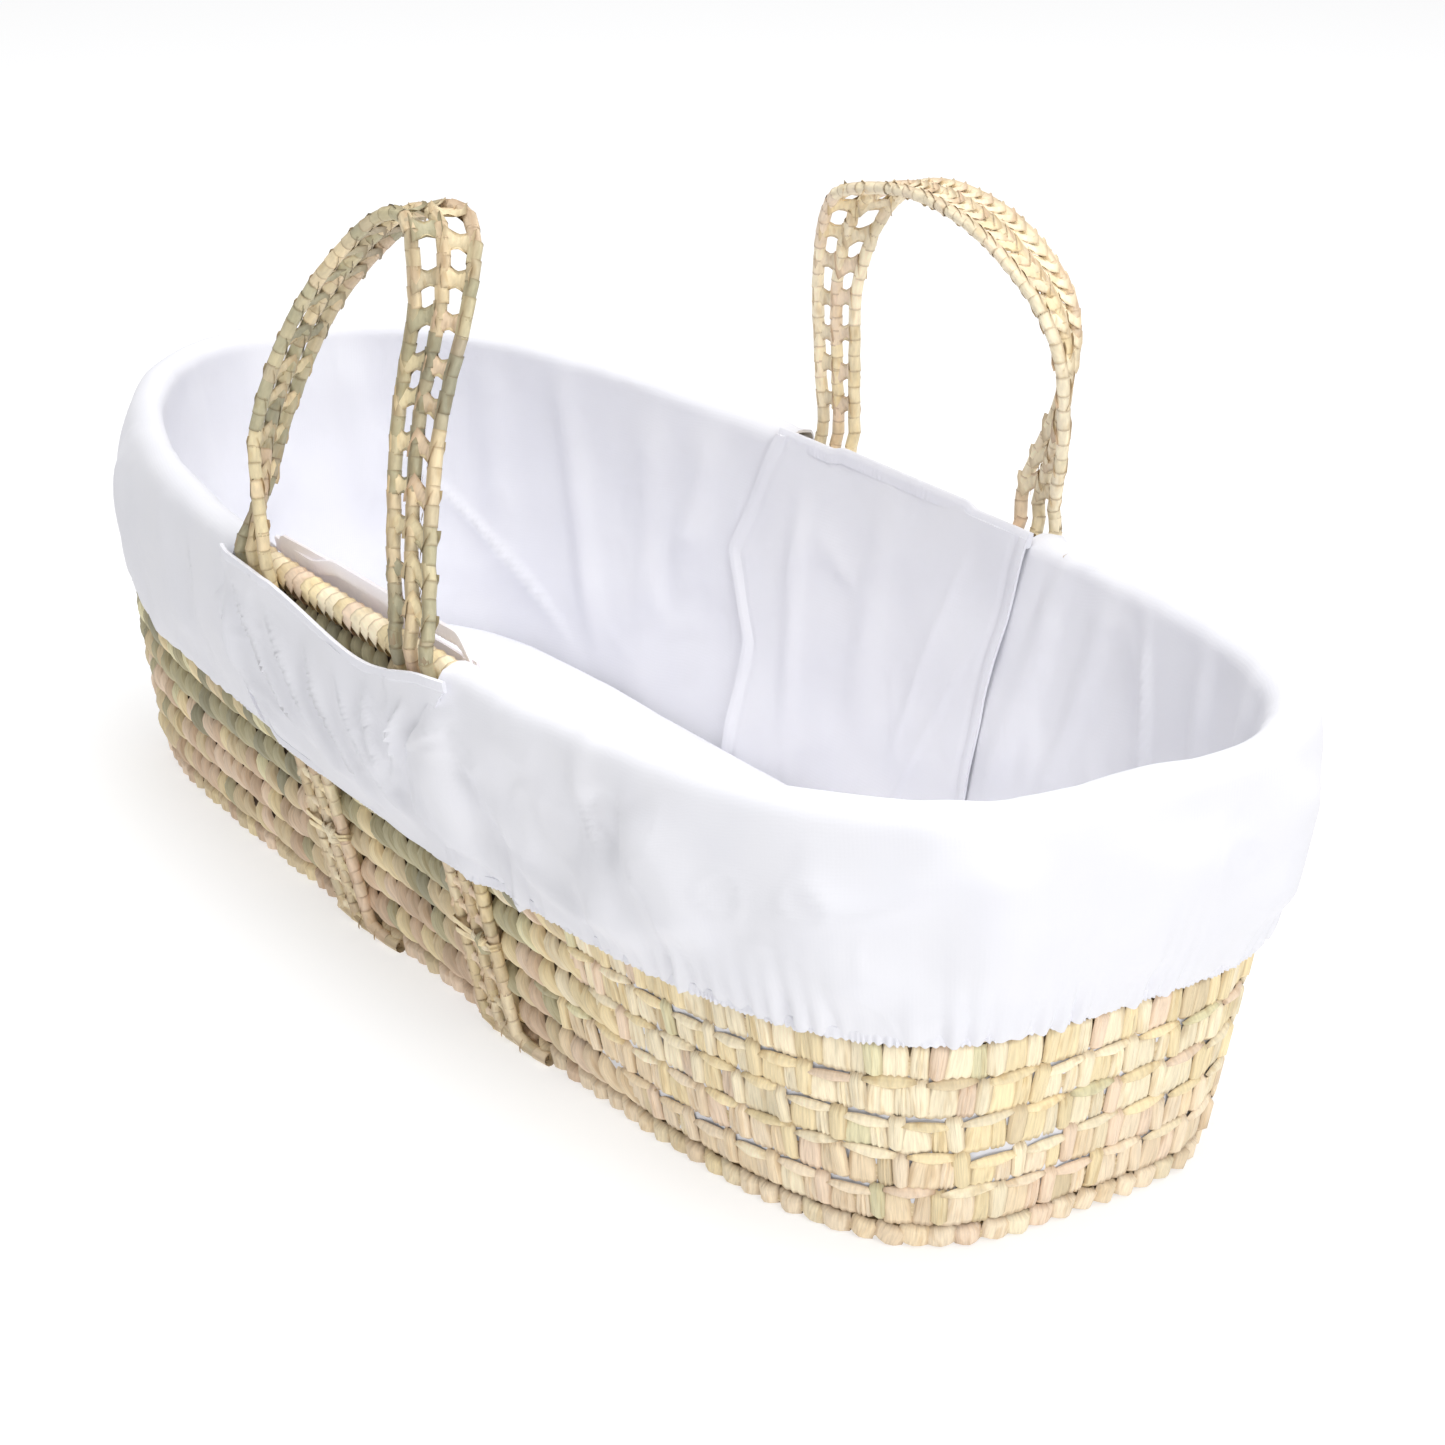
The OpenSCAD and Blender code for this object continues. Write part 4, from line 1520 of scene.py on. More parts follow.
NEAR_ARCH = (
    (-1, 0, 174), (-1.03, 0.13, 146), (-1.08, 0.345, 120), (-0.81, 0.665, 110), (-0.18, 0.94, 98),
    (0.33, 1, 75), (0.57, 0.825, 30), (0.61, 0.505, 12), (0.8, 0.225, 4), (0.985, 0.05, 0), (1, 0, 0))
FAR_ARCH = (
    (-1, 0, 0), (-1.02, 0.27, 6), (-1, 0.6, 14), (-0.75, 0.88, 45), (-0.15, 1, 85), (0.5, 0.96, 92),
    (1.02, 0.8, 105), (1.23, 0.6, 125), (1.18, 0.33, 150), (1.02, 0.07, 172), (1, 0, 178))


# ---------------------------------------------------------------- cotton


CLOTH_T = 0.0016
LINING_Z = 0.0128
SKIRT_OFF = 0.0053
FLAP_OFF = 0.0114
PANEL_OFF = -0.0143
ROLL_R = 0.0096
HALF_BAND = CORD_PITCH + CORD_R
WIDE_GAP = 0.010
CLOSE_GAP = 0.0035
BEHIND = 0.0022
PUCKER = 0.0021
STRAP_LIFT = 0.0052
FLAP_LOW_OFF = 0.0064
FLAP_SEAM_Z = (0.102, 0.205)
BOUND_LAP = 0.004


class Bend(Enum):
    """The cross shape of one fold."""

    ROLL = "roll"
    CREASE = "crease"
    TUCK = "tuck"


@dataclass(frozen=True)
class Fold:
    """One fold in a cloth, along a line on it.

    Attributes:
        start: (turn in degrees, height in mm) of one end, as near() or far() give it; heights
            inside the basket are counted down from the rim as negative numbers.
        end: The other end, in the same way.
        width: Width of the fold, in mm.
        rise: Height of the fold, in mm; below 0 it is a hollow.
        bend: Its cross shape.
    """

    start: tuple[float, float]
    end: tuple[float, float]
    width: float
    rise: float
    bend: Bend = Bend.ROLL

    def lift(self, along: Array, level: Array, along_at: Callable[[float], float]) -> Array:
        """How far the fold lifts the cloth at points given by their distances along and up it.

        Args:
            along: Distance of each point along the cloth.
            level: Its height, or minus its depth below the rim inside.
            along_at: Gives the distance along the cloth at a turn.

        Returns:
            The lift of each point.
        """
        a = np.array([along_at(math.radians(self.start[0])), self.start[1] * MM])
        b = np.array([along_at(math.radians(self.end[0])), self.end[1] * MM])
        line = b - a
        length = float(np.hypot(*line))
        line = line / length
        dx, dy = along - a[0], level - a[1]
        share = (dx * line[0] + dy * line[1]) / length
        away = (dx * -line[1] + dy * line[0]) / (self.width * MM)
        fade = smooth(-0.12, 0.25, share) * smooth(1.12, 0.75, share)
        if self.bend is Bend.CREASE:
            shape = np.exp(-np.abs(away) * 1.6)
        elif self.bend is Bend.TUCK:
            shape = np.where(away > 0, np.exp(-away * 1.1), np.exp(away * 7.0))
        else:
            shape = np.exp(-away * away)
        return self.rise * MM * fade * shape


@dataclass
class Seam:
    """A seam down the cloth: points of (x, height) on one side of the basket, in metres."""

    side: int
    points: tuple[tuple[float, float], ...]

    def turn(self, z: Array) -> Array:
        """The turn of the seam at each height."""
        heights = [point[1] for point in self.points]
        places = [point[0] for point in self.points]
        order = np.argsort(heights)
        x = np.interp(z, np.array(heights)[order], np.array(places)[order])
        share = np.clip(z / OVAL.side_h, 0, 1)
        half = OVAL.base_half[0] + (OVAL.rim_half[0] - OVAL.base_half[0]) * share
        wanted = x * OVAL.rim_half[0] / half
        return np.array([OVAL.turn_at(float(value), self.side) for value in np.atleast_1d(wanted)])


def near(x: float, level: float, around: float = 0.0) -> tuple[float, float]:
    """One end of a fold on the near side: x and height in mm; around is 360 on the head cover."""
    return math.degrees(OVAL.turn_at(x * MM, NEAR)) + around, level


def far(x: float, level: float) -> tuple[float, float]:
    """One end of a fold on the far side: x and height in mm."""
    return math.degrees(OVAL.turn_at(x * MM, FAR)), level


def soft_noise(points: Array, scale: float, seed: float) -> Array:
    """Smooth noise of about -1 to 1 at each point."""
    offset = Vector((seed, seed * 0.37, -seed))
    flat = points.reshape(-1, 3)
    values = [noise.noise(Vector(point) * scale + offset) for point in flat.tolist()]
    return np.array(values).reshape(points.shape[:-1])


def creased(points: Array, scale: float, seed: float) -> Array:
    """Thin soft ridges, 0 to 1, that come and go in patches over a cloth."""
    line = soft_noise(points, scale, seed)
    patch = soft_noise(points, scale * 0.6, seed + 11.0)
    return np.exp(-((line / 0.1) ** 2)) * smooth(-0.05, 0.3, patch)


@dataclass
class ClothSheet:
    """A sheet of cotton over part of the basket, as a grid of columns round it and rows along its path.

    Attributes:
        name: The piece's name.
        node: The frame node that it stands for.
        turns: Turns of the grid, rows by columns.
        offs: Offsets from the wall's face, the same shape.
        heights: Heights, the same shape.
        material: Its finish.
        folds: Folds laid on it.
        ripple: Height of the soft unevenness all over it.
        thickness: Thickness of the cloth.
        gather: Gives the puckers' height at points along and up it, if any.
        limit: The lowest and highest lift that folds may give.
        hemmed: Whether its two side edges are folded under and stitched.
        swell: How much higher the folds are half-way down the outside.
        hollow: How much deeper they may be there.
        held: Distances from its side edges at which folds start and are full, if the edges lie flat.
    """

    name: str
    node: str
    turns: Array
    offs: Array
    heights: Array
    material: bpy.types.Material
    folds: tuple[Fold, ...] = ()
    ripple: float = 0.0032
    thickness: float = CLOTH_T
    gather: Callable[[Array, Array], Array] | None = None
    limit: tuple[float, float] = (-0.0016, 0.011)
    hemmed: bool = False
    swell: float = 0.0
    hollow: float = 0.0
    held: tuple[float, float] | None = None

    def levels(self) -> Array:
        """Height of each point, or minus its depth below the rim on the inside."""
        inside = self.offs < -WALL_T / 2
        top = OVAL.rim_z(self.turns)
        return np.where(inside, self.heights - top, self.heights)

    def make(self) -> bpy.types.Object:
        """Builds the sheet with its folds, gives it its thickness and finish."""
        points = OVAL.beside(self.turns, self.offs, self.heights)
        across = np.gradient(points, axis=1)
        up = np.gradient(points, axis=0)
        out = unit(np.cross(across, up))
        dense = np.linspace(-math.pi, 2 * math.pi, 3000)
        line = OVAL.beside(dense, 0.0, OVAL.rim_z(dense))
        walked = lengths(line)

        def along_at(turn: float) -> float:
            """Gives the distance along the rim at a turn."""
            return float(np.interp(turn, dense, walked))

        along = np.interp(self.turns, dense, walked)
        seed = float(len(self.name))
        lift = self.ripple * (soft_noise(points, 10.0, seed) + 0.5 * soft_noise(points, 26.0, seed + 5.0))
        lift += self.ripple * 0.55 * creased(points, 13.0, seed + 2.0)
        lift += self.ripple * 0.16 * creased(points, 34.0, seed + 7.0)
        levels = self.levels()
        for fold in self.folds:
            lift += fold.lift(along, levels, along_at)
        edge = np.minimum(np.abs(along - along[:, :1]), np.abs(along - along[:, -1:]))
        free = smooth(0.004, 0.03, self.heights - self.heights[:1]) * (levels > 0)
        free *= smooth(-0.004, -0.03, self.heights - OVAL.rim_z(self.turns))
        lift *= 1 + self.swell * free
        if self.held:
            lift *= smooth(*self.held, edge)
        if self.gather is not None:
            lift += self.gather(along, self.heights)
        if self.hemmed:
            lift += 0.0011 * smooth(0.0075, 0.0055, edge) - 0.0009 * np.exp(-(((edge - 0.009) / 0.0022) ** 2))
        low = self.limit[0] - self.hollow * free
        if self.hollow:
            low = low * smooth(0.004, 0.03, edge)
        lift = np.clip(lift, low, self.limit[1])
        points = points + out * lift[..., None]
        rows, columns = points.shape[:2]
        faces, _ = grid_faces(rows, columns, False)
        path = np.concatenate([
            np.zeros((1, columns)), np.cumsum(np.linalg.norm(np.diff(points, axis=0), axis=2), axis=0)])
        flat_uv = np.stack([along, path], axis=2).reshape(-1, 2)
        obj = sheet_object(self.name, points.reshape(-1, 3), faces, flat_uv[faces.ravel()])
        obj.data.materials.append(self.material)
        make_active(obj)
        thicken(obj, self.thickness)
        shade(obj, 70)
        return stand_for(obj, "cotton", self.node)

    def size(self) -> tuple[float, float]:
        """Width and length of the sheet before it was hung: along its path, and round the basket."""
        points = OVAL.beside(self.turns, self.offs, self.heights)
        path = np.linalg.norm(np.diff(points, axis=0), axis=2).sum(axis=0).mean()
        round_it = np.linalg.norm(np.diff(points, axis=1), axis=2).sum(axis=1).mean()
        return float(path), float(round_it)


def spread(low: Array, high: Array, columns: int) -> Array:
    """Rows of evenly spread values between two edges, one pair for each row."""
    share = np.linspace(0, 1, columns)[None, :]
    return low[:, None] + (high - low)[:, None] * share


def along_path(controls: Array, rows: int) -> Array:
    """Runs a smooth path through control points and steps along it evenly.

    Args:
        controls: (off, height) control points for one turn.
        rows: Number of points wanted.

    Returns:
        The (off, height) points.
    """
    last = len(controls) - 1
    fine = curve_through(controls, np.linspace(0, last, 40 * last))
    walked = np.concatenate([[0], np.cumsum(np.hypot(*np.diff(fine, axis=0).T))])
    wanted = np.linspace(0, walked[-1], rows)
    return np.stack([np.interp(wanted, walked, fine[:, axis]) for axis in (0, 1)], axis=1)


@dataclass
class Liner:
    """The cotton lining: two covers over the ends, and panels and flaps between the handle legs.

    Attributes:
        cotton: The cloth's finish.
        binding: The finish of bound edges and hems.
        elastic: The finish of the gathered hem.
        thin: The finish of the near panel, with a painted glow that stands in for light coming through the
            cloth from behind.
    """

    cotton: bpy.types.Material
    binding: bpy.types.Material
    elastic: bpy.types.Material
    thin: bpy.types.Material
    near_legs: tuple[float, float] = NEAR_LEGS
    far_legs: tuple[float, float] = FAR_LEGS
    rows: int = 96
    made: list[bpy.types.Object] = field(default_factory=list)

    def corner(self, x: float, side: int, way: int, gap: float = CLOSE_GAP) -> float:
        """The turn of a cover's edge, a gap beside a handle leg; way is 1 towards the foot end."""
        return OVAL.turn_at(x + way * (HALF_BAND + gap), side)

    def cover_path(self, turn: float) -> Array:
        """The (off, height) path of a cover at one turn, from the hem up and down the inside."""
        hem, top = float(OVAL.hem_z(turn)), float(OVAL.rim_z(turn))
        middle = top - RIM_D / 2
        reach = float(OVAL.reach(np.array(turn)))
        full = -0.001 * float(smooth(0.45, 0.85, reach)) - 0.0018 * float(smooth(-0.5, -0.9, reach))
        skirt = SKIRT_OFF + full
        controls = [
            (skirt - 0.0006, hem), (skirt + 0.002, hem + 0.010),
            (skirt + 0.0034, hem + 0.38 * (top - hem)), (skirt + 0.0028, hem + 0.68 * (top - hem)),
            (skirt + 0.0008, top - RIM_D * 0.9)]
        roll = ROLL_R + 0.4 * full
        controls += [
            (roll * math.cos(angle) - WALL_T / 2, middle + ROLL_R * math.sin(angle))
            for angle in (math.radians(a) for a in (35, 90, 145))]
        controls += [
            (PANEL_OFF - 0.0002, middle - 0.004), (PANEL_OFF, top * 0.72), (PANEL_OFF, top * 0.42),
            (PANEL_OFF - 0.001, LINING_Z + 0.02), (PANEL_OFF - 0.004, LINING_Z + 0.0015)]
        return along_path(np.array(controls), self.rows)

    def cover(self, word: str, turns_low: Array, turns_high: Array, columns: int, folds: tuple[Fold, ...],
              gather: Callable[[Array, Array], Array]) -> ClothSheet:
        """Lays out one end's cover.

        Args:
            word: head or foot.
            turns_low: The turn of its first edge in each row.
            turns_high: The turn of its last edge in each row.
            columns: Number of grid columns.
            folds: Folds on it.
            gather: The hem's gathers.

        Returns:
            The sheet's layout.
        """
        turns = spread(turns_low, turns_high, columns)
        offs, heights = np.empty_like(turns), np.empty_like(turns)
        for column in range(columns):
            path = self.cover_path(float(turns[self.rows // 3, column]))
            offs[:, column], heights[:, column] = path[:, 0], path[:, 1]
        offs = offs + self.over_straps(turns, offs, heights)
        head = word == "head"
        return ClothSheet(f"{word}_cover_cotton", f"{word}_cover", turns, offs, heights, self.cotton, folds,
                          gather=gather, swell=0.2 if head else 0.9, hollow=0.0 if head else 0.0024,
                          held=(-0.008, 0.02) if head else None)

    def over_straps(self, turns: Array, offs: Array, heights: Array) -> Array:
        """Extra offset where the outside of the cloth lies over a strap.

        Args:
            turns: The turns of the cover's grid.
            offs: Its offsets.
            heights: Its heights.

        Returns:
            The extra offset of each point.
        """
        points = OVAL.beside(turns, offs, heights)
        outside = offs > 0
        lift = np.zeros_like(offs)
        for side, legs in ((NEAR, self.near_legs), (FAR, self.far_legs)):
            for x in legs:
                close = smooth(HALF_BAND + 0.016, HALF_BAND - 0.001, np.abs(points[..., 0] - x))
                lift = np.maximum(lift, close * (np.sign(points[..., 1]) == side))
        return lift * outside * STRAP_LIFT

    def edge_turns(self, path: Array, outer: Seam, inner: Seam, at_rim: float) -> Array:
        """The turn of a cover's edge in each row: down the outer seam, over the rim, down the inner one.

        Args:
            path: The cover's (off, height) path.
            outer: The seam outside.
            inner: The seam inside.
            at_rim: The turn at which the edge crosses the rim.

        Returns:
            The turns.
        """
        outside = path[:, 0] > 0.001
        inside = path[:, 0] < -WALL_T + 0.0005
        turns = np.full(len(path), at_rim)
        turns[outside] = outer.turn(path[outside, 1])
        turns[inside] = inner.turn(path[inside, 1])
        kernel = np.array([1, 2, 3, 2, 1]) / 9
        padded = np.concatenate([turns[:1], turns[:1], turns, turns[-1:], turns[-1:]])
        return np.convolve(padded, kernel, mode="valid")

    def hem_gather(self, seed: int, full: float) -> Callable[[Array, Array], Array]:
        """Makes the function that puckers a cover above its elastic hem.

        Args:
            seed: Picks the pattern of puckers.
            full: How strong the gathers are.

        Returns:
            The lift at points along and up the cloth.
        """
        random = np.random.default_rng(seed)
        waves = [(random.uniform(260, 620), random.uniform(0, 6.28), random.uniform(0.3, 1))
                 for _ in range(9)]
        slow = [(random.uniform(60, 130), random.uniform(0, 6.28)) for _ in range(4)]

        def lift(along: Array, heights: Array) -> Array:
            """Gives the puckers' height at points along and up the cloth."""
            above = heights - heights[:1]
            pucker = sum(size * np.sin(along * rate + phase) for rate, phase, size in waves) / 2.2
            strength = 0.65 + 0.45 * sum(np.sin(along * rate + phase) for rate, phase in slow) / 2
            close = np.exp(-((above / 0.015) ** 2)) + 0.4 * np.exp(-((above / 0.036) ** 2))
            rising = np.arange(len(above))[:, None] < len(above) * 0.42
            return PUCKER * full * pucker * np.clip(strength, 0.1, 1.4) * close * rising

        return lift

    def bound_edge(self, name: str, turns: Array, offs: Array, tops: Array, tall: float, thick: float,
                   ruffle: float, finish: bpy.types.Material) -> bpy.types.Object:
        """Makes a narrow rounded band of cloth along an edge, puckered when ruffle is above 0.

        Args:
            name: The piece's name.
            turns: The turn of each step along the edge.
            offs: The band's middle offset at each step.
            tops: Height of the band's upper edge at each step.
            tall: Height of the band.
            thick: Its thickness.
            ruffle: Height of its puckers.
            finish: Its material.

        Returns:
            The band, riding on nothing yet.
        """
        profile = [(0.0, -0.5), (0.42, -0.44), (0.5, -0.2), (0.42, 0.0), (0.5, 0.2), (0.42, 0.44), (0.0, 0.5),
                   (-0.42, 0.44), (-0.5, 0.0), (-0.42, -0.44)]
        base = OVAL.beside(turns, offs, tops)
        along = lengths(base)
        random = seeded(name)
        wave = np.sin(along * 1900 + 2.2 * np.sin(along * 310)) * (0.6 + 0.4 * np.sin(along * 140 + 1.0))
        slow = np.sin(along * 420 + random.uniform(0, 6)) * 0.5
        rows = []
        for off, level in profile:
            push = ruffle * wave * (0.5 - level) + ruffle * slow * (0.5 - level)
            drop = ruffle * 0.5 * np.cos(along * 1900 + 2.2 * np.sin(along * 310)) * (level < 0)
            rows.append(OVAL.beside(turns, offs + off * thick + push, tops - tall / 2 + level * tall + drop))
        points = np.stack(rows)
        count, columns = points.shape[:2]
        faces, _ = grid_faces(count + 1, columns, False)
        faces = faces % (count * columns)
        path = np.linspace(0, tall * 2, count)[:, None] + 0 * along[None, :]
        uv = np.stack([np.tile(along, (count, 1)), path], axis=2).reshape(-1, 2)[faces.ravel()]
        obj = sheet_object(name, points.reshape(-1, 3), faces, uv)
        obj.data.materials.append(finish)
        make_active(obj)
        bpy.ops.object.mode_set(mode="EDIT")
        bpy.ops.mesh.select_mode(type="EDGE")
        bpy.ops.mesh.select_all(action="DESELECT")
        bpy.ops.mesh.select_non_manifold()
        bpy.ops.mesh.edge_face_add()
        bpy.ops.mesh.select_all(action="SELECT")
        bpy.ops.mesh.normals_make_consistent(inside=False)
        bpy.ops.object.mode_set(mode="OBJECT")
        shade(obj, 65)
        return obj

    def keep(self, piece: bpy.types.Object, slot: str, *nodes: str) -> None:
        """Makes a piece ride on the basket, in place of a frame node when one is named."""
        self.made.append(stand_for(piece, slot, *nodes))

    @staticmethod
    def stretched(values: Array, count: int) -> Array:
        """Values along a grid's edge, read at an even count of places instead."""
        return np.interp(np.linspace(0, len(values) - 1, count), np.arange(len(values)), values)

    def covers(self) -> None:
        """Makes both end covers and their gathered hems."""
        head_rim = (self.corner(self.far_legs[0], FAR, -1),
                    2 * math.pi + self.corner(self.near_legs[0], NEAR, -1))
        foot_rim = (self.corner(self.near_legs[1], NEAR, 1, WIDE_GAP), self.corner(self.far_legs[1], FAR, 1))
        plain = {
            "head_near": Seam(NEAR, ((-0.108, 0.08), (-0.109, 0.105), (-0.124, 0.170), (-0.0845, 0.214))),
            "foot_near": Seam(NEAR, (
                (0.112, 0.08), (0.106, 0.100), (0.076, 0.136), (0.076, 0.152), (0.122, 0.206))),
            "head_far": Seam(FAR, ((-0.104, 0.08), (-0.0945, 0.21))),
            "foot_far": Seam(FAR, ((0.134, 0.08), (0.126, 0.21))),
            "head_far_in": Seam(FAR, ((-0.080, 0.045), (-0.083, 0.100), (-0.114, 0.144), (-0.0945, 0.212))),
            "foot_far_in": Seam(FAR, ((0.119, 0.045), (0.119, 0.071), (0.117, 0.131), (0.1255, 0.212))),
            "head_near_in": Seam(NEAR, ((-0.094, 0.045), (-0.0855, 0.212))),
            "foot_near_in": Seam(NEAR, ((0.128, 0.045), (0.126, 0.212))),
        }
        path = self.cover_path(math.pi / 2)
        head = self.cover(
            "head",
            self.edge_turns(path, plain["head_far"], plain["head_far_in"], head_rim[0]),
            2 * math.pi + self.edge_turns(
                path, plain["head_near"], plain["head_near_in"], head_rim[1] - 2 * math.pi),
            300, HEAD_FOLDS, self.hem_gather(5, 0.35))
        foot = self.cover(
            "foot",
            self.edge_turns(path, plain["foot_near"], plain["foot_near_in"], foot_rim[0]),
            self.edge_turns(path, plain["foot_far"], plain["foot_far_in"], foot_rim[1]),
            400, FOOT_FOLDS, self.hem_gather(9, 1.0))
        for word, layout, ruffle in (("head", head, 0.0006), ("foot", foot, 0.0011)):
            sheet = layout.make()
            turns, over = self.stretched(layout.turns[0], 1150), self.stretched(layout.offs[0], 1150)
            hem = self.bound_edge(
                f"{word}_gathered_hem", turns, over - 0.0002, OVAL.hem_z(turns) + 0.0052, 0.0066, 0.0030,
                ruffle, self.elastic)
            self.keep(hem, "hem_elastic", f"{word}_hem_elastic")
            layout.size()
            self.made.append(sheet)

    def flap(self, word: str, side: int, low_x: Seam, high_x: Seam, high: Callable[[Array], Array],
             folds: tuple[Fold, ...]) -> None:
        """Makes one outside flap between the handle legs, with its bound edge and plain hem.

        Args:
            word: near or far.
            side: NEAR or FAR.
            low_x: The seam at the lower turns.
            high_x: The seam at the higher turns.
            high: Height of the bound edge at a turn.
            folds: Folds on the flap.
        """
        rows, columns = 44, 120
        share = np.linspace(0, 1, rows)
        z = FLAP_SEAM_Z[0] + share * (FLAP_SEAM_Z[1] - FLAP_SEAM_Z[0])
        turns = spread(low_x.turn(z), high_x.turn(z), columns)
        low, top = OVAL.hem_z(turns), high(turns)
        heights = low + (top - BOUND_LAP - low) * share[:, None]
        x = OVAL.beside(turns, 0.0, heights)[..., 0]
        legs = self.near_legs if side == NEAR else self.far_legs
        over = np.clip(sum(smooth(HALF_BAND + 0.03, HALF_BAND, np.abs(x - leg)) for leg in legs), 0, 1)
        between = smooth(legs[0] - 0.012, legs[0], x) * smooth(legs[1] + 0.012, legs[1], x)
        drape = FLAP_LOW_OFF + (FLAP_OFF - FLAP_LOW_OFF) * np.maximum(over, between * 0.85)
        offs = drape - 0.0012 * smooth(0.12, 0.0, share)[:, None]
        layout = ClothSheet(f"{word}_flap_cotton", f"{word}_flap", turns, offs, heights, self.cotton, folds,
                            swell=1.1, held=(0.012, 0.03))
        sheet = layout.make()
        edge_turn, edge_off = self.stretched(turns[-1], 420), self.stretched(offs[-1], 420)
        band = self.bound_edge(
            f"{word}_flap_bound_edge", edge_turn, edge_off, high(edge_turn), 0.0062, 0.0026, 0.00012,
            self.binding)
        self.keep(band, "cotton_binding", f"{word}_flap_binding")
        hem_turn, hem_off = self.stretched(turns[0], 420), self.stretched(offs[0], 420)
        hem = self.bound_edge(
            f"{word}_flap_hem", hem_turn, hem_off - 0.0002, OVAL.hem_z(hem_turn) + 0.0046, 0.0056, 0.0026,
            0.0003, self.elastic)
        self.keep(hem, "hem_elastic")
        layout.size()
        self.made.append(sheet)

    def panel(self, word: str, side: int, low_x: Seam, high_x: Seam, rise: Callable[[Array], Array],
              folds: tuple[Fold, ...]) -> None:
        """Makes one inside panel between the handle legs, with the hem along its top.

        Args:
            word: near or far.
            side: NEAR or FAR.
            low_x: The seam at the lower turns.
            high_x: The seam at the higher turns.
            rise: How far the panel stands above the rim at a turn.
            folds: Folds on the panel.
        """
        rows, columns = 56, 96
        share = np.linspace(0, 1, rows)
        z = LINING_Z + share * (OVAL.side_h - LINING_Z)
        turns = spread(low_x.turn(z), high_x.turn(z), columns)
        top = OVAL.rim_z(turns) + rise(turns) - BOUND_LAP
        heights = LINING_Z + (top - LINING_Z) * share[:, None]
        offs = np.broadcast_to(PANEL_OFF - BEHIND - 0.002 * smooth(0.12, 0.0, share)[:, None], turns.shape)
        # The near panel and its hem take the cotton with the painted glow.
        cotton, binding = (self.thin, self.thin) if side == NEAR else (self.cotton, self.binding)
        layout = ClothSheet(f"{word}_panel_cotton", f"{word}_lining_panel", turns[:, ::-1], offs, heights,
                            cotton, folds, hemmed=True)
        sheet = layout.make()
        edge_turn = self.stretched(turns[-1], 320)
        band = self.bound_edge(
            f"{word}_panel_bound_hem", edge_turn, np.full(320, PANEL_OFF - BEHIND),
            OVAL.rim_z(edge_turn) + rise(edge_turn), 0.0088, 0.0030, 0.0002, binding)
        self.keep(band, "cotton_binding", f"{word}_panel_hem")
        layout.size()
        self.made.append(sheet)

    def floor(self) -> None:
        """Makes the cloth under the mattress."""
        rings, columns = 14, 120
        turns = np.linspace(-math.pi, math.pi, columns, endpoint=False)
        edge = OVAL.beside(turns, PANEL_OFF - CLOTH_T, 0.0 * turns + 0.0114)
        points = np.stack([edge * np.array([s, s, 1.0]) for s in np.linspace(1.0, 0.02, rings)])
        points[..., 2] += 0.0003 * soft_noise(points, 30.0, 3.0)
        faces, _ = grid_faces(rings, columns, True)
        uv = points.reshape(-1, 3)[:, :2][faces.ravel()]
        obj = sheet_object("lining_floor_cotton", points.reshape(-1, 3), faces, uv)
        obj.data.materials.append(self.cotton)
        draw_together(obj, (rings - 1) * columns, columns)
        thicken(obj, 0.0012)
        shade(obj)
        self.keep(obj, "cotton", "lining_floor")

    def build(self) -> list[bpy.types.Object]:
        """Makes every piece of the lining."""
        self.covers()
        near_from = self.corner(self.near_legs[0], NEAR, -1)
        near_to = self.corner(self.near_legs[1], NEAR, 1, WIDE_GAP)

        def near_high(turn: Array) -> Array:
            """Gives the height of the near flap's bound edge, which dips between the legs."""
            share = np.clip((turn - near_from) / (near_to - near_from), 0, 1)
            return OVAL.rim_z(turn) - 0.001 - 0.015 * np.sin(math.pi * share**1.5) ** 2

        def far_high(turn: Array) -> Array:
            """Gives the height of the far flap's bound edge."""
            return OVAL.rim_z(turn) - RIM_D / 2

        self.flap("near", NEAR,
                  Seam(NEAR, ((-0.126, 0.08), (-0.128, 0.105), (-0.146, 0.170), (-0.083, 0.214))),
                  Seam(NEAR, ((0.116, 0.08), (0.110, 0.100), (0.081, 0.136), (0.083, 0.152), (0.131, 0.206))),
                  near_high, NEAR_FLAP_FOLDS)
        self.flap("far", FAR, Seam(FAR, ((0.136, 0.08), (0.126, 0.21))),
                  Seam(FAR, ((-0.106, 0.08), (-0.0945, 0.21))), far_high, FAR_FLAP_FOLDS)

        def near_rise(turn: Array) -> Array:
            """Gives how far the near panel stands above the rim."""
            x = OVAL.beside(turn, 0.0, 0.0 * turn + 0.216)[..., 0]
            return (0.0035 + 0.0085 * smooth(-0.046, -0.008, x)) - 0.017 * smooth(0.108, 0.1245, x) ** 2

        def far_rise(turn: Array) -> Array:
            """Gives how far the far panel stands above the rim."""
            x = OVAL.beside(turn, 0.0, 0.0 * turn + 0.216)[..., 0]
            return 0.006 + 0.0025 * smooth(-0.052, -0.04, x) * smooth(0.084, 0.072, x)

        self.panel("near", NEAR, Seam(NEAR, ((-0.096, 0.045), (-0.0865, 0.216))),
                   Seam(NEAR, ((0.130, 0.045), (0.1255, 0.216))), near_rise, NEAR_PANEL_FOLDS)
        self.panel("far", FAR, Seam(FAR, ((0.128, 0.045), (0.128, 0.071), (0.126, 0.131), (0.131, 0.216))),
                   Seam(FAR, ((-0.089, 0.045), (-0.092, 0.100), (-0.124, 0.144), (-0.101, 0.216))),
                   far_rise, FAR_PANEL_FOLDS)
        self.behind_weave()
        self.floor()
        return self.made

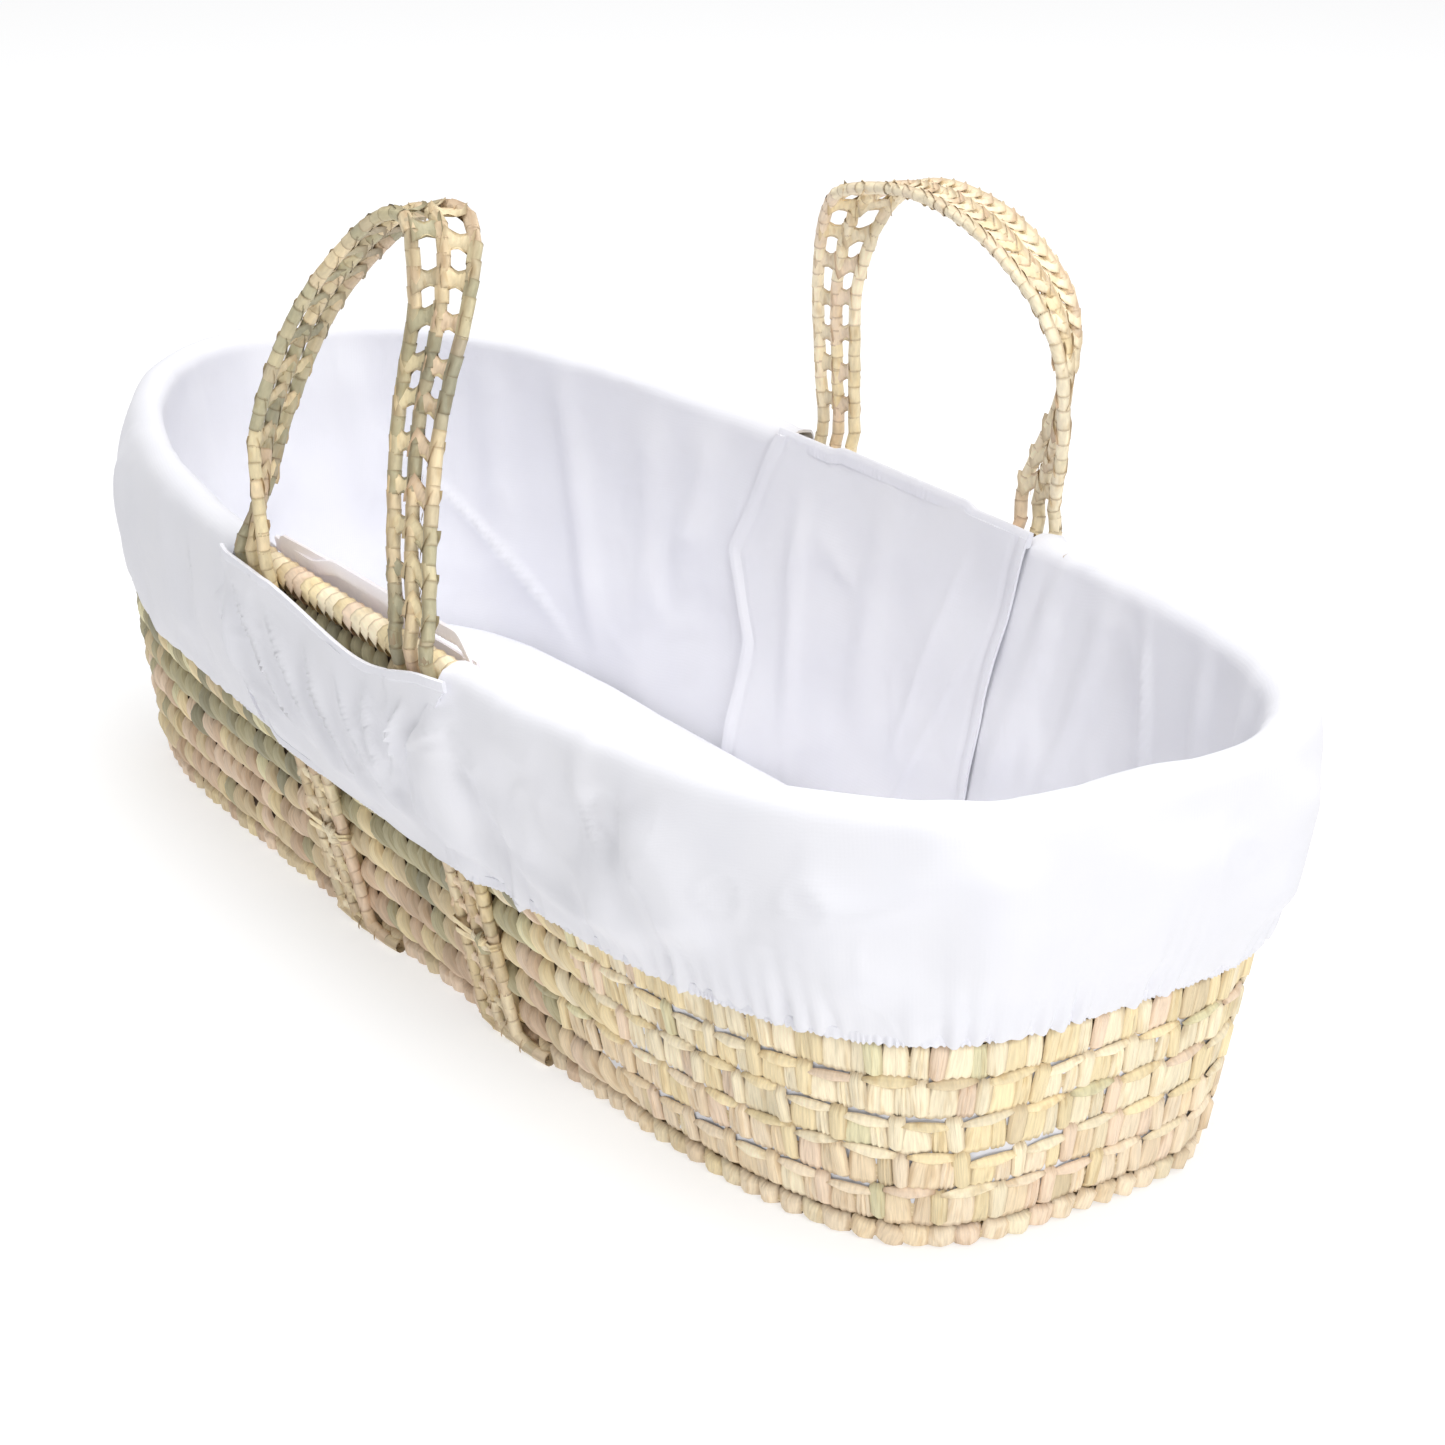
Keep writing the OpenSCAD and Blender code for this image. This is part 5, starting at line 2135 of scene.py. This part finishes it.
    def behind_weave(self) -> None:
        """Makes the lining that swells into the gaps of the loose weave and shows white in them."""
        rows, columns = 40, 160
        turns = np.tile(np.linspace(-1.12, 1.12, columns), (rows, 1))
        heights = np.linspace(FOOT_H + 0.003, OVAL.hem_side, rows)[:, None] + 0.0 * turns
        layout = ClothSheet("lining_in_weave_gaps", "foot_cover", turns, -0.0021 + 0.0 * turns, heights,
                            self.cotton, ripple=0.0007)
        sheet = layout.make()
        layout.size()
        self.made.append(sheet)


HEAD_FOLDS = (
    Fold(far(-398, -70), far(-261, -168), 9, 5, Bend.TUCK),
    Fold(far(-293, -6), far(-232, -170), 10, 4.5),
    Fold(far(-215, -14), far(-190, -150), 14, 3.5),
    Fold(far(-160, -10), far(-172, -120), 11, 3),
    Fold(far(-345, -10), far(-318, -120), 12, 3),
    Fold((166, -12), (160, -120), 13, 4),
    Fold((185, -10), (190, -120), 12, 4),
    Fold((205, -10), (201, -130), 12, 4),
    Fold(near(-200, 205, 360), near(-170, 128, 360), 15, 3),
    Fold(near(-158, 200, 360), near(-146, 118, 360), 9, 2.4, Bend.TUCK),
    Fold(near(-300, 208, 360), near(-250, 140, 360), 16, 2.4),
    Fold(near(-136, 196, 360), near(-158, 140, 360), 8, 1.4),
    Fold((170, 215), (165, 160), 12, 2.5),
)
FOOT_FOLDS = (
    Fold(near(78, 140), near(150, 108), 12, 3.4, Bend.TUCK),
    Fold(near(82, 166), near(132, 196), 10, 2.8, Bend.CREASE),
    Fold(near(84, 150), near(190, 150), 16, 2.6),
    Fold(near(86, 158), near(170, 186), 14, 2.6),
    Fold(near(112, 190), near(200, 205), 13, 2.4),
    Fold(near(120, 175), near(150, 130), 11, -2.4),
    Fold(near(235, 196), near(250, 165), 12, -2.6),
    Fold(near(262, 192), near(290, 140), 22, 3.6),
    Fold(near(215, 150), near(255, 122), 16, 3),
    Fold((-44, 190), (-38, 130), 22, 3.4),
    Fold((-22, 205), (-26, 140), 20, 3),
    Fold((4, 200), (-3, 135), 24, 3.2),
    Fold((30, 200), (26, 140), 20, 3),
    Fold((58, -14), (52, -150), 9, 5, Bend.TUCK),
    Fold((51, -10), (44, -160), 8, 4),
    Fold((42, -8), (38, -150), 9, 5),
    Fold((33, -10), (30, -150), 8, 4, Bend.TUCK),
    Fold((22, -8), (18, -150), 10, 4.5),
    Fold((10, -10), (8, -150), 12, 4),
    Fold(far(160, -12), far(150, -150), 12, 3.5),
    Fold(far(205, -10), far(190, -150), 10, 3.5),
)
NEAR_FLAP_FOLDS = (
    Fold(near(-84, 198), near(-30, 124), 11, 4.2, Bend.TUCK),
    Fold(near(-48, 192), near(14, 116), 12, 5, Bend.CREASE),
    Fold(near(-12, 184), near(48, 110), 10, 4.4, Bend.TUCK),
    Fold(near(24, 182), near(70, 116), 13, 4, Bend.CREASE),
    Fold(near(52, 186), near(58, 142), 7, 3.2, Bend.CREASE),
    Fold(near(88, 190), near(60, 138), 8, 3.6, Bend.TUCK),
    Fold(near(-105, 168), near(-64, 112), 12, 3.6, Bend.CREASE),
    Fold(near(-94, 190), near(-102, 130), 8, 2.8),
)
FAR_FLAP_FOLDS = (
    Fold(far(-60, 190), far(-20, 120), 9, 3, Bend.CREASE),
    Fold(far(30, 194), far(60, 118), 10, 3),
)
NEAR_PANEL_FOLDS = (
    Fold(near(-40, -12), near(-30, -140), 10, 2.6),
    Fold(near(40, -10), near(60, -140), 12, 2.4),
)
FAR_PANEL_FOLDS = (
    Fold(far(-70, -22), far(-40, -150), 9, 2.8),
    Fold(far(10, -12), far(22, -130), 14, 2.6),
    Fold(far(84, -20), far(60, -140), 11, 2.6, Bend.CREASE),
    Fold(far(110, -60), far(70, -165), 8, 2.6, Bend.TUCK),
)


@dataclass
class Mattress:
    """The lift-out mattress in its fitted cotton cover.

    Attributes:
        cotton: The cover's finish.
        off: Distance of its side inside the wall's outer face.
        low: Height of its underside.
        high: Height of its upper edge.
        crown: Extra height of its middle.
        columns: Number of points round it.
    """

    cotton: bpy.types.Material
    off: float = 0.0186
    low: float = 0.0128
    high: float = 0.0445
    crown: float = 0.0052
    columns: int = 200

    def build(self) -> bpy.types.Object:
        """Makes the pad: a crowned closed form with soft edges and a few pulls in the cloth."""
        turns = np.linspace(-math.pi, math.pi, self.columns, endpoint=False)
        tall = self.high - self.low
        profile = [
            (0.014, 0.0), (0.006, 0.06), (0.0015, 0.22), (0.0, 0.45), (0.0008, 0.68), (0.0035, 0.84),
            (0.008, 0.94), (0.015, 0.99), (0.026, 1.02)]
        rings = [OVAL.beside(turns, -self.off - inset, 0.0 * turns + self.low + tall * up)
                 for inset, up in profile]
        edge = rings[-1]
        top = [edge * np.array([s, s, 1.0]) + np.array([0, 0, self.crown * (1 - s * s)])
               for s in (0.94, 0.87, 0.79, 0.7, 0.6, 0.5, 0.4, 0.3, 0.2, 0.1, 0.03)]
        bottom = [rings[0] * np.array([s, s, 1.0]) for s in (0.03, 0.4, 0.8)]
        points = np.stack(bottom + rings + top)
        upper = np.arange(len(points))[:, None] >= len(bottom) + 5
        uneven = 0.0013 * soft_noise(points, 14.0, 2.0) + 0.0006 * soft_noise(points, 40.0, 8.0)
        points[..., 2] += upper * uneven
        rows = len(points)
        faces, _ = grid_faces(rows, self.columns, True)
        uv = points.reshape(-1, 3)[:, :2][faces.ravel()]
        obj = sheet_object("mattress_fitted", points.reshape(-1, 3), faces, uv)
        obj.data.materials.append(self.cotton)
        draw_together(obj, (rows - 1) * self.columns, self.columns)
        draw_together(obj, 0, self.columns)
        shade(obj, 80)
        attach(obj, "mattress")
        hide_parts("mattress_cover", "mattress_foam")
        return obj


# ---------------------------------------------------------------- studio


@dataclass
class Studio:
    """The camera, soft lights and pale floor."""

    azimuth: float = 55.73
    elevation: float = 21.93
    distance: float = 1.6728
    target: tuple[float, float, float] = (0.0618, 0.0163, 0.1273)
    lens: float = 80.59
    roll: float = 0.71

    def camera(self) -> None:
        """Places the camera."""
        az, el = math.radians(self.azimuth), math.radians(self.elevation)
        back = Vector((math.sin(az) * math.cos(el), -math.cos(az) * math.cos(el), math.sin(el)))
        target = Vector(self.target)
        data = bpy.data.cameras.new("camera")
        data.lens = self.lens
        data.sensor_width = 36.0
        obj = bpy.data.objects.new("camera", data)
        bpy.context.scene.collection.objects.link(obj)
        obj.location = target + back * self.distance
        turn = (-back).to_track_quat("-Z", "Y").to_matrix().to_4x4()
        turn = turn @ Euler((0.0, 0.0, math.radians(self.roll))).to_matrix().to_4x4()
        obj.rotation_euler = turn.to_euler()
        bpy.context.scene.camera = obj

    def light(self, name: str, place: tuple[float, float, float], size: float, power: float,
              tint: Colour) -> None:
        """Adds one soft square light that looks at the basket.

        Args:
            name: The light's name.
            place: Where it stands.
            size: Length of its sides.
            power: Its power in watts.
            tint: Its colour.
        """
        data = bpy.data.lights.new(name, "AREA")
        data.shape = "SQUARE"
        data.size = size
        data.energy = power
        data.color = tint
        obj = bpy.data.objects.new(name, data)
        bpy.context.scene.collection.objects.link(obj)
        obj.location = place
        obj.rotation_euler = (Vector((0.0, 0.0, 0.12)) - Vector(place)).to_track_quat("-Z", "Y").to_euler()

    def floor(self) -> None:
        """Adds the wide, pale, flat floor."""
        deselect_all()
        bpy.ops.mesh.primitive_plane_add(size=14.0, location=(0.0, 0.0, 0.0))
        floor = bpy.context.active_object
        floor.name = "studio_floor"
        make = Nodes("studio_floor_paper")
        make.dress({
            "Base Color": (0.46, 0.46, 0.465, 1.0), "Roughness": 0.9, "Specular IOR Level": 0.1,
            "Emission Color": (1.0, 1.0, 1.0, 1.0), "Emission Strength": 0.6})
        floor.data.materials.append(make.material)

    def world(self) -> None:
        """Gives the scene a plain white surround."""
        world = bpy.data.worlds.new("studio")
        bpy.context.scene.world = world
        world.use_nodes = True
        world.node_tree.nodes["Background"].inputs["Color"].default_value = (1.0, 1.0, 1.0, 1.0)
        world.node_tree.nodes["Background"].inputs["Strength"].default_value = 0.4

    def build(self) -> None:
        """Sets up the whole studio."""
        self.camera()
        self.floor()
        self.world()
        self.light("key", (2.4, -0.45, 1.4), 0.8, 22.0, (1.0, 0.995, 0.98))
        self.light("top", (0.3, 0.2, 4.0), 3.6, 158.0, (1.0, 1.0, 1.0))
        bpy.context.scene.view_settings.view_transform = "Standard"


# ---------------------------------------------------------------- the whole basket


def main() -> None:
    """Builds the studio, then the basket's pieces in order, and logs each piece's face count."""
    logging.basicConfig(level=logging.INFO, format="%(message)s")
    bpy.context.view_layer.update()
    deselect_all()
    studio = Studio()
    studio.build()
    shapes = LeafPatterns()
    kinds = ("plump", "panel", "stitch", "lens", "wrap", "lace")
    patterns = {name: getattr(shapes, name)() for name in kinds}
    leaf = LeafFinish("palm_leaf").build()
    # The wrapped leaf of the handles and straps, with a little more painted shade at its tucked edges.
    strap_leaf = LeafFinish("palm_leaf_wrapped", veins=9.0, edge=0.5, stain=0.3).build()
    stems = CoreFinish("leaf_stems").build()
    cotton = CottonFinish("white_cotton", rgb(232, 232, 237)).build()
    binding = CottonFinish("cotton_tape", rgb(233, 233, 239), thread=0.0005, crease=0.0005).build()
    elastic = CottonFinish("gathered_cotton", rgb(232, 232, 238), thread=0.0006, crease=0.0008).build()
    for piece in WovenWall(patterns, leaf, stems).build() + WovenBase(patterns, leaf).build():
        report(piece)
    handles = (
        Handle("near", NEAR, NEAR_LEGS, 0.192, 15.0, NEAR_ARCH, patterns, strap_leaf, leaf,
               NEAR_HANDLE_STAINED_SHADED_LEAVES),
        Handle("far", FAR, FAR_LEGS, 0.155, 2.0, FAR_ARCH, patterns, strap_leaf, leaf,
               FAR_HANDLE_LIT_LEAVES, (0.4, 0.74)))
    for handle in handles:
        for piece in handle.build():
            report(piece)
    # Cotton with a painted glow: an emission that stands in for light coming through the near panel from
    # behind.
    thin = CottonFinish("glow_painted_cotton", rgb(232, 228, 232), glow=0.2).build()
    for piece in Liner(cotton, binding, elastic, thin).build():
        report(piece)
    report(Mattress(cotton).build())


if __name__ == "__main__":
    main()
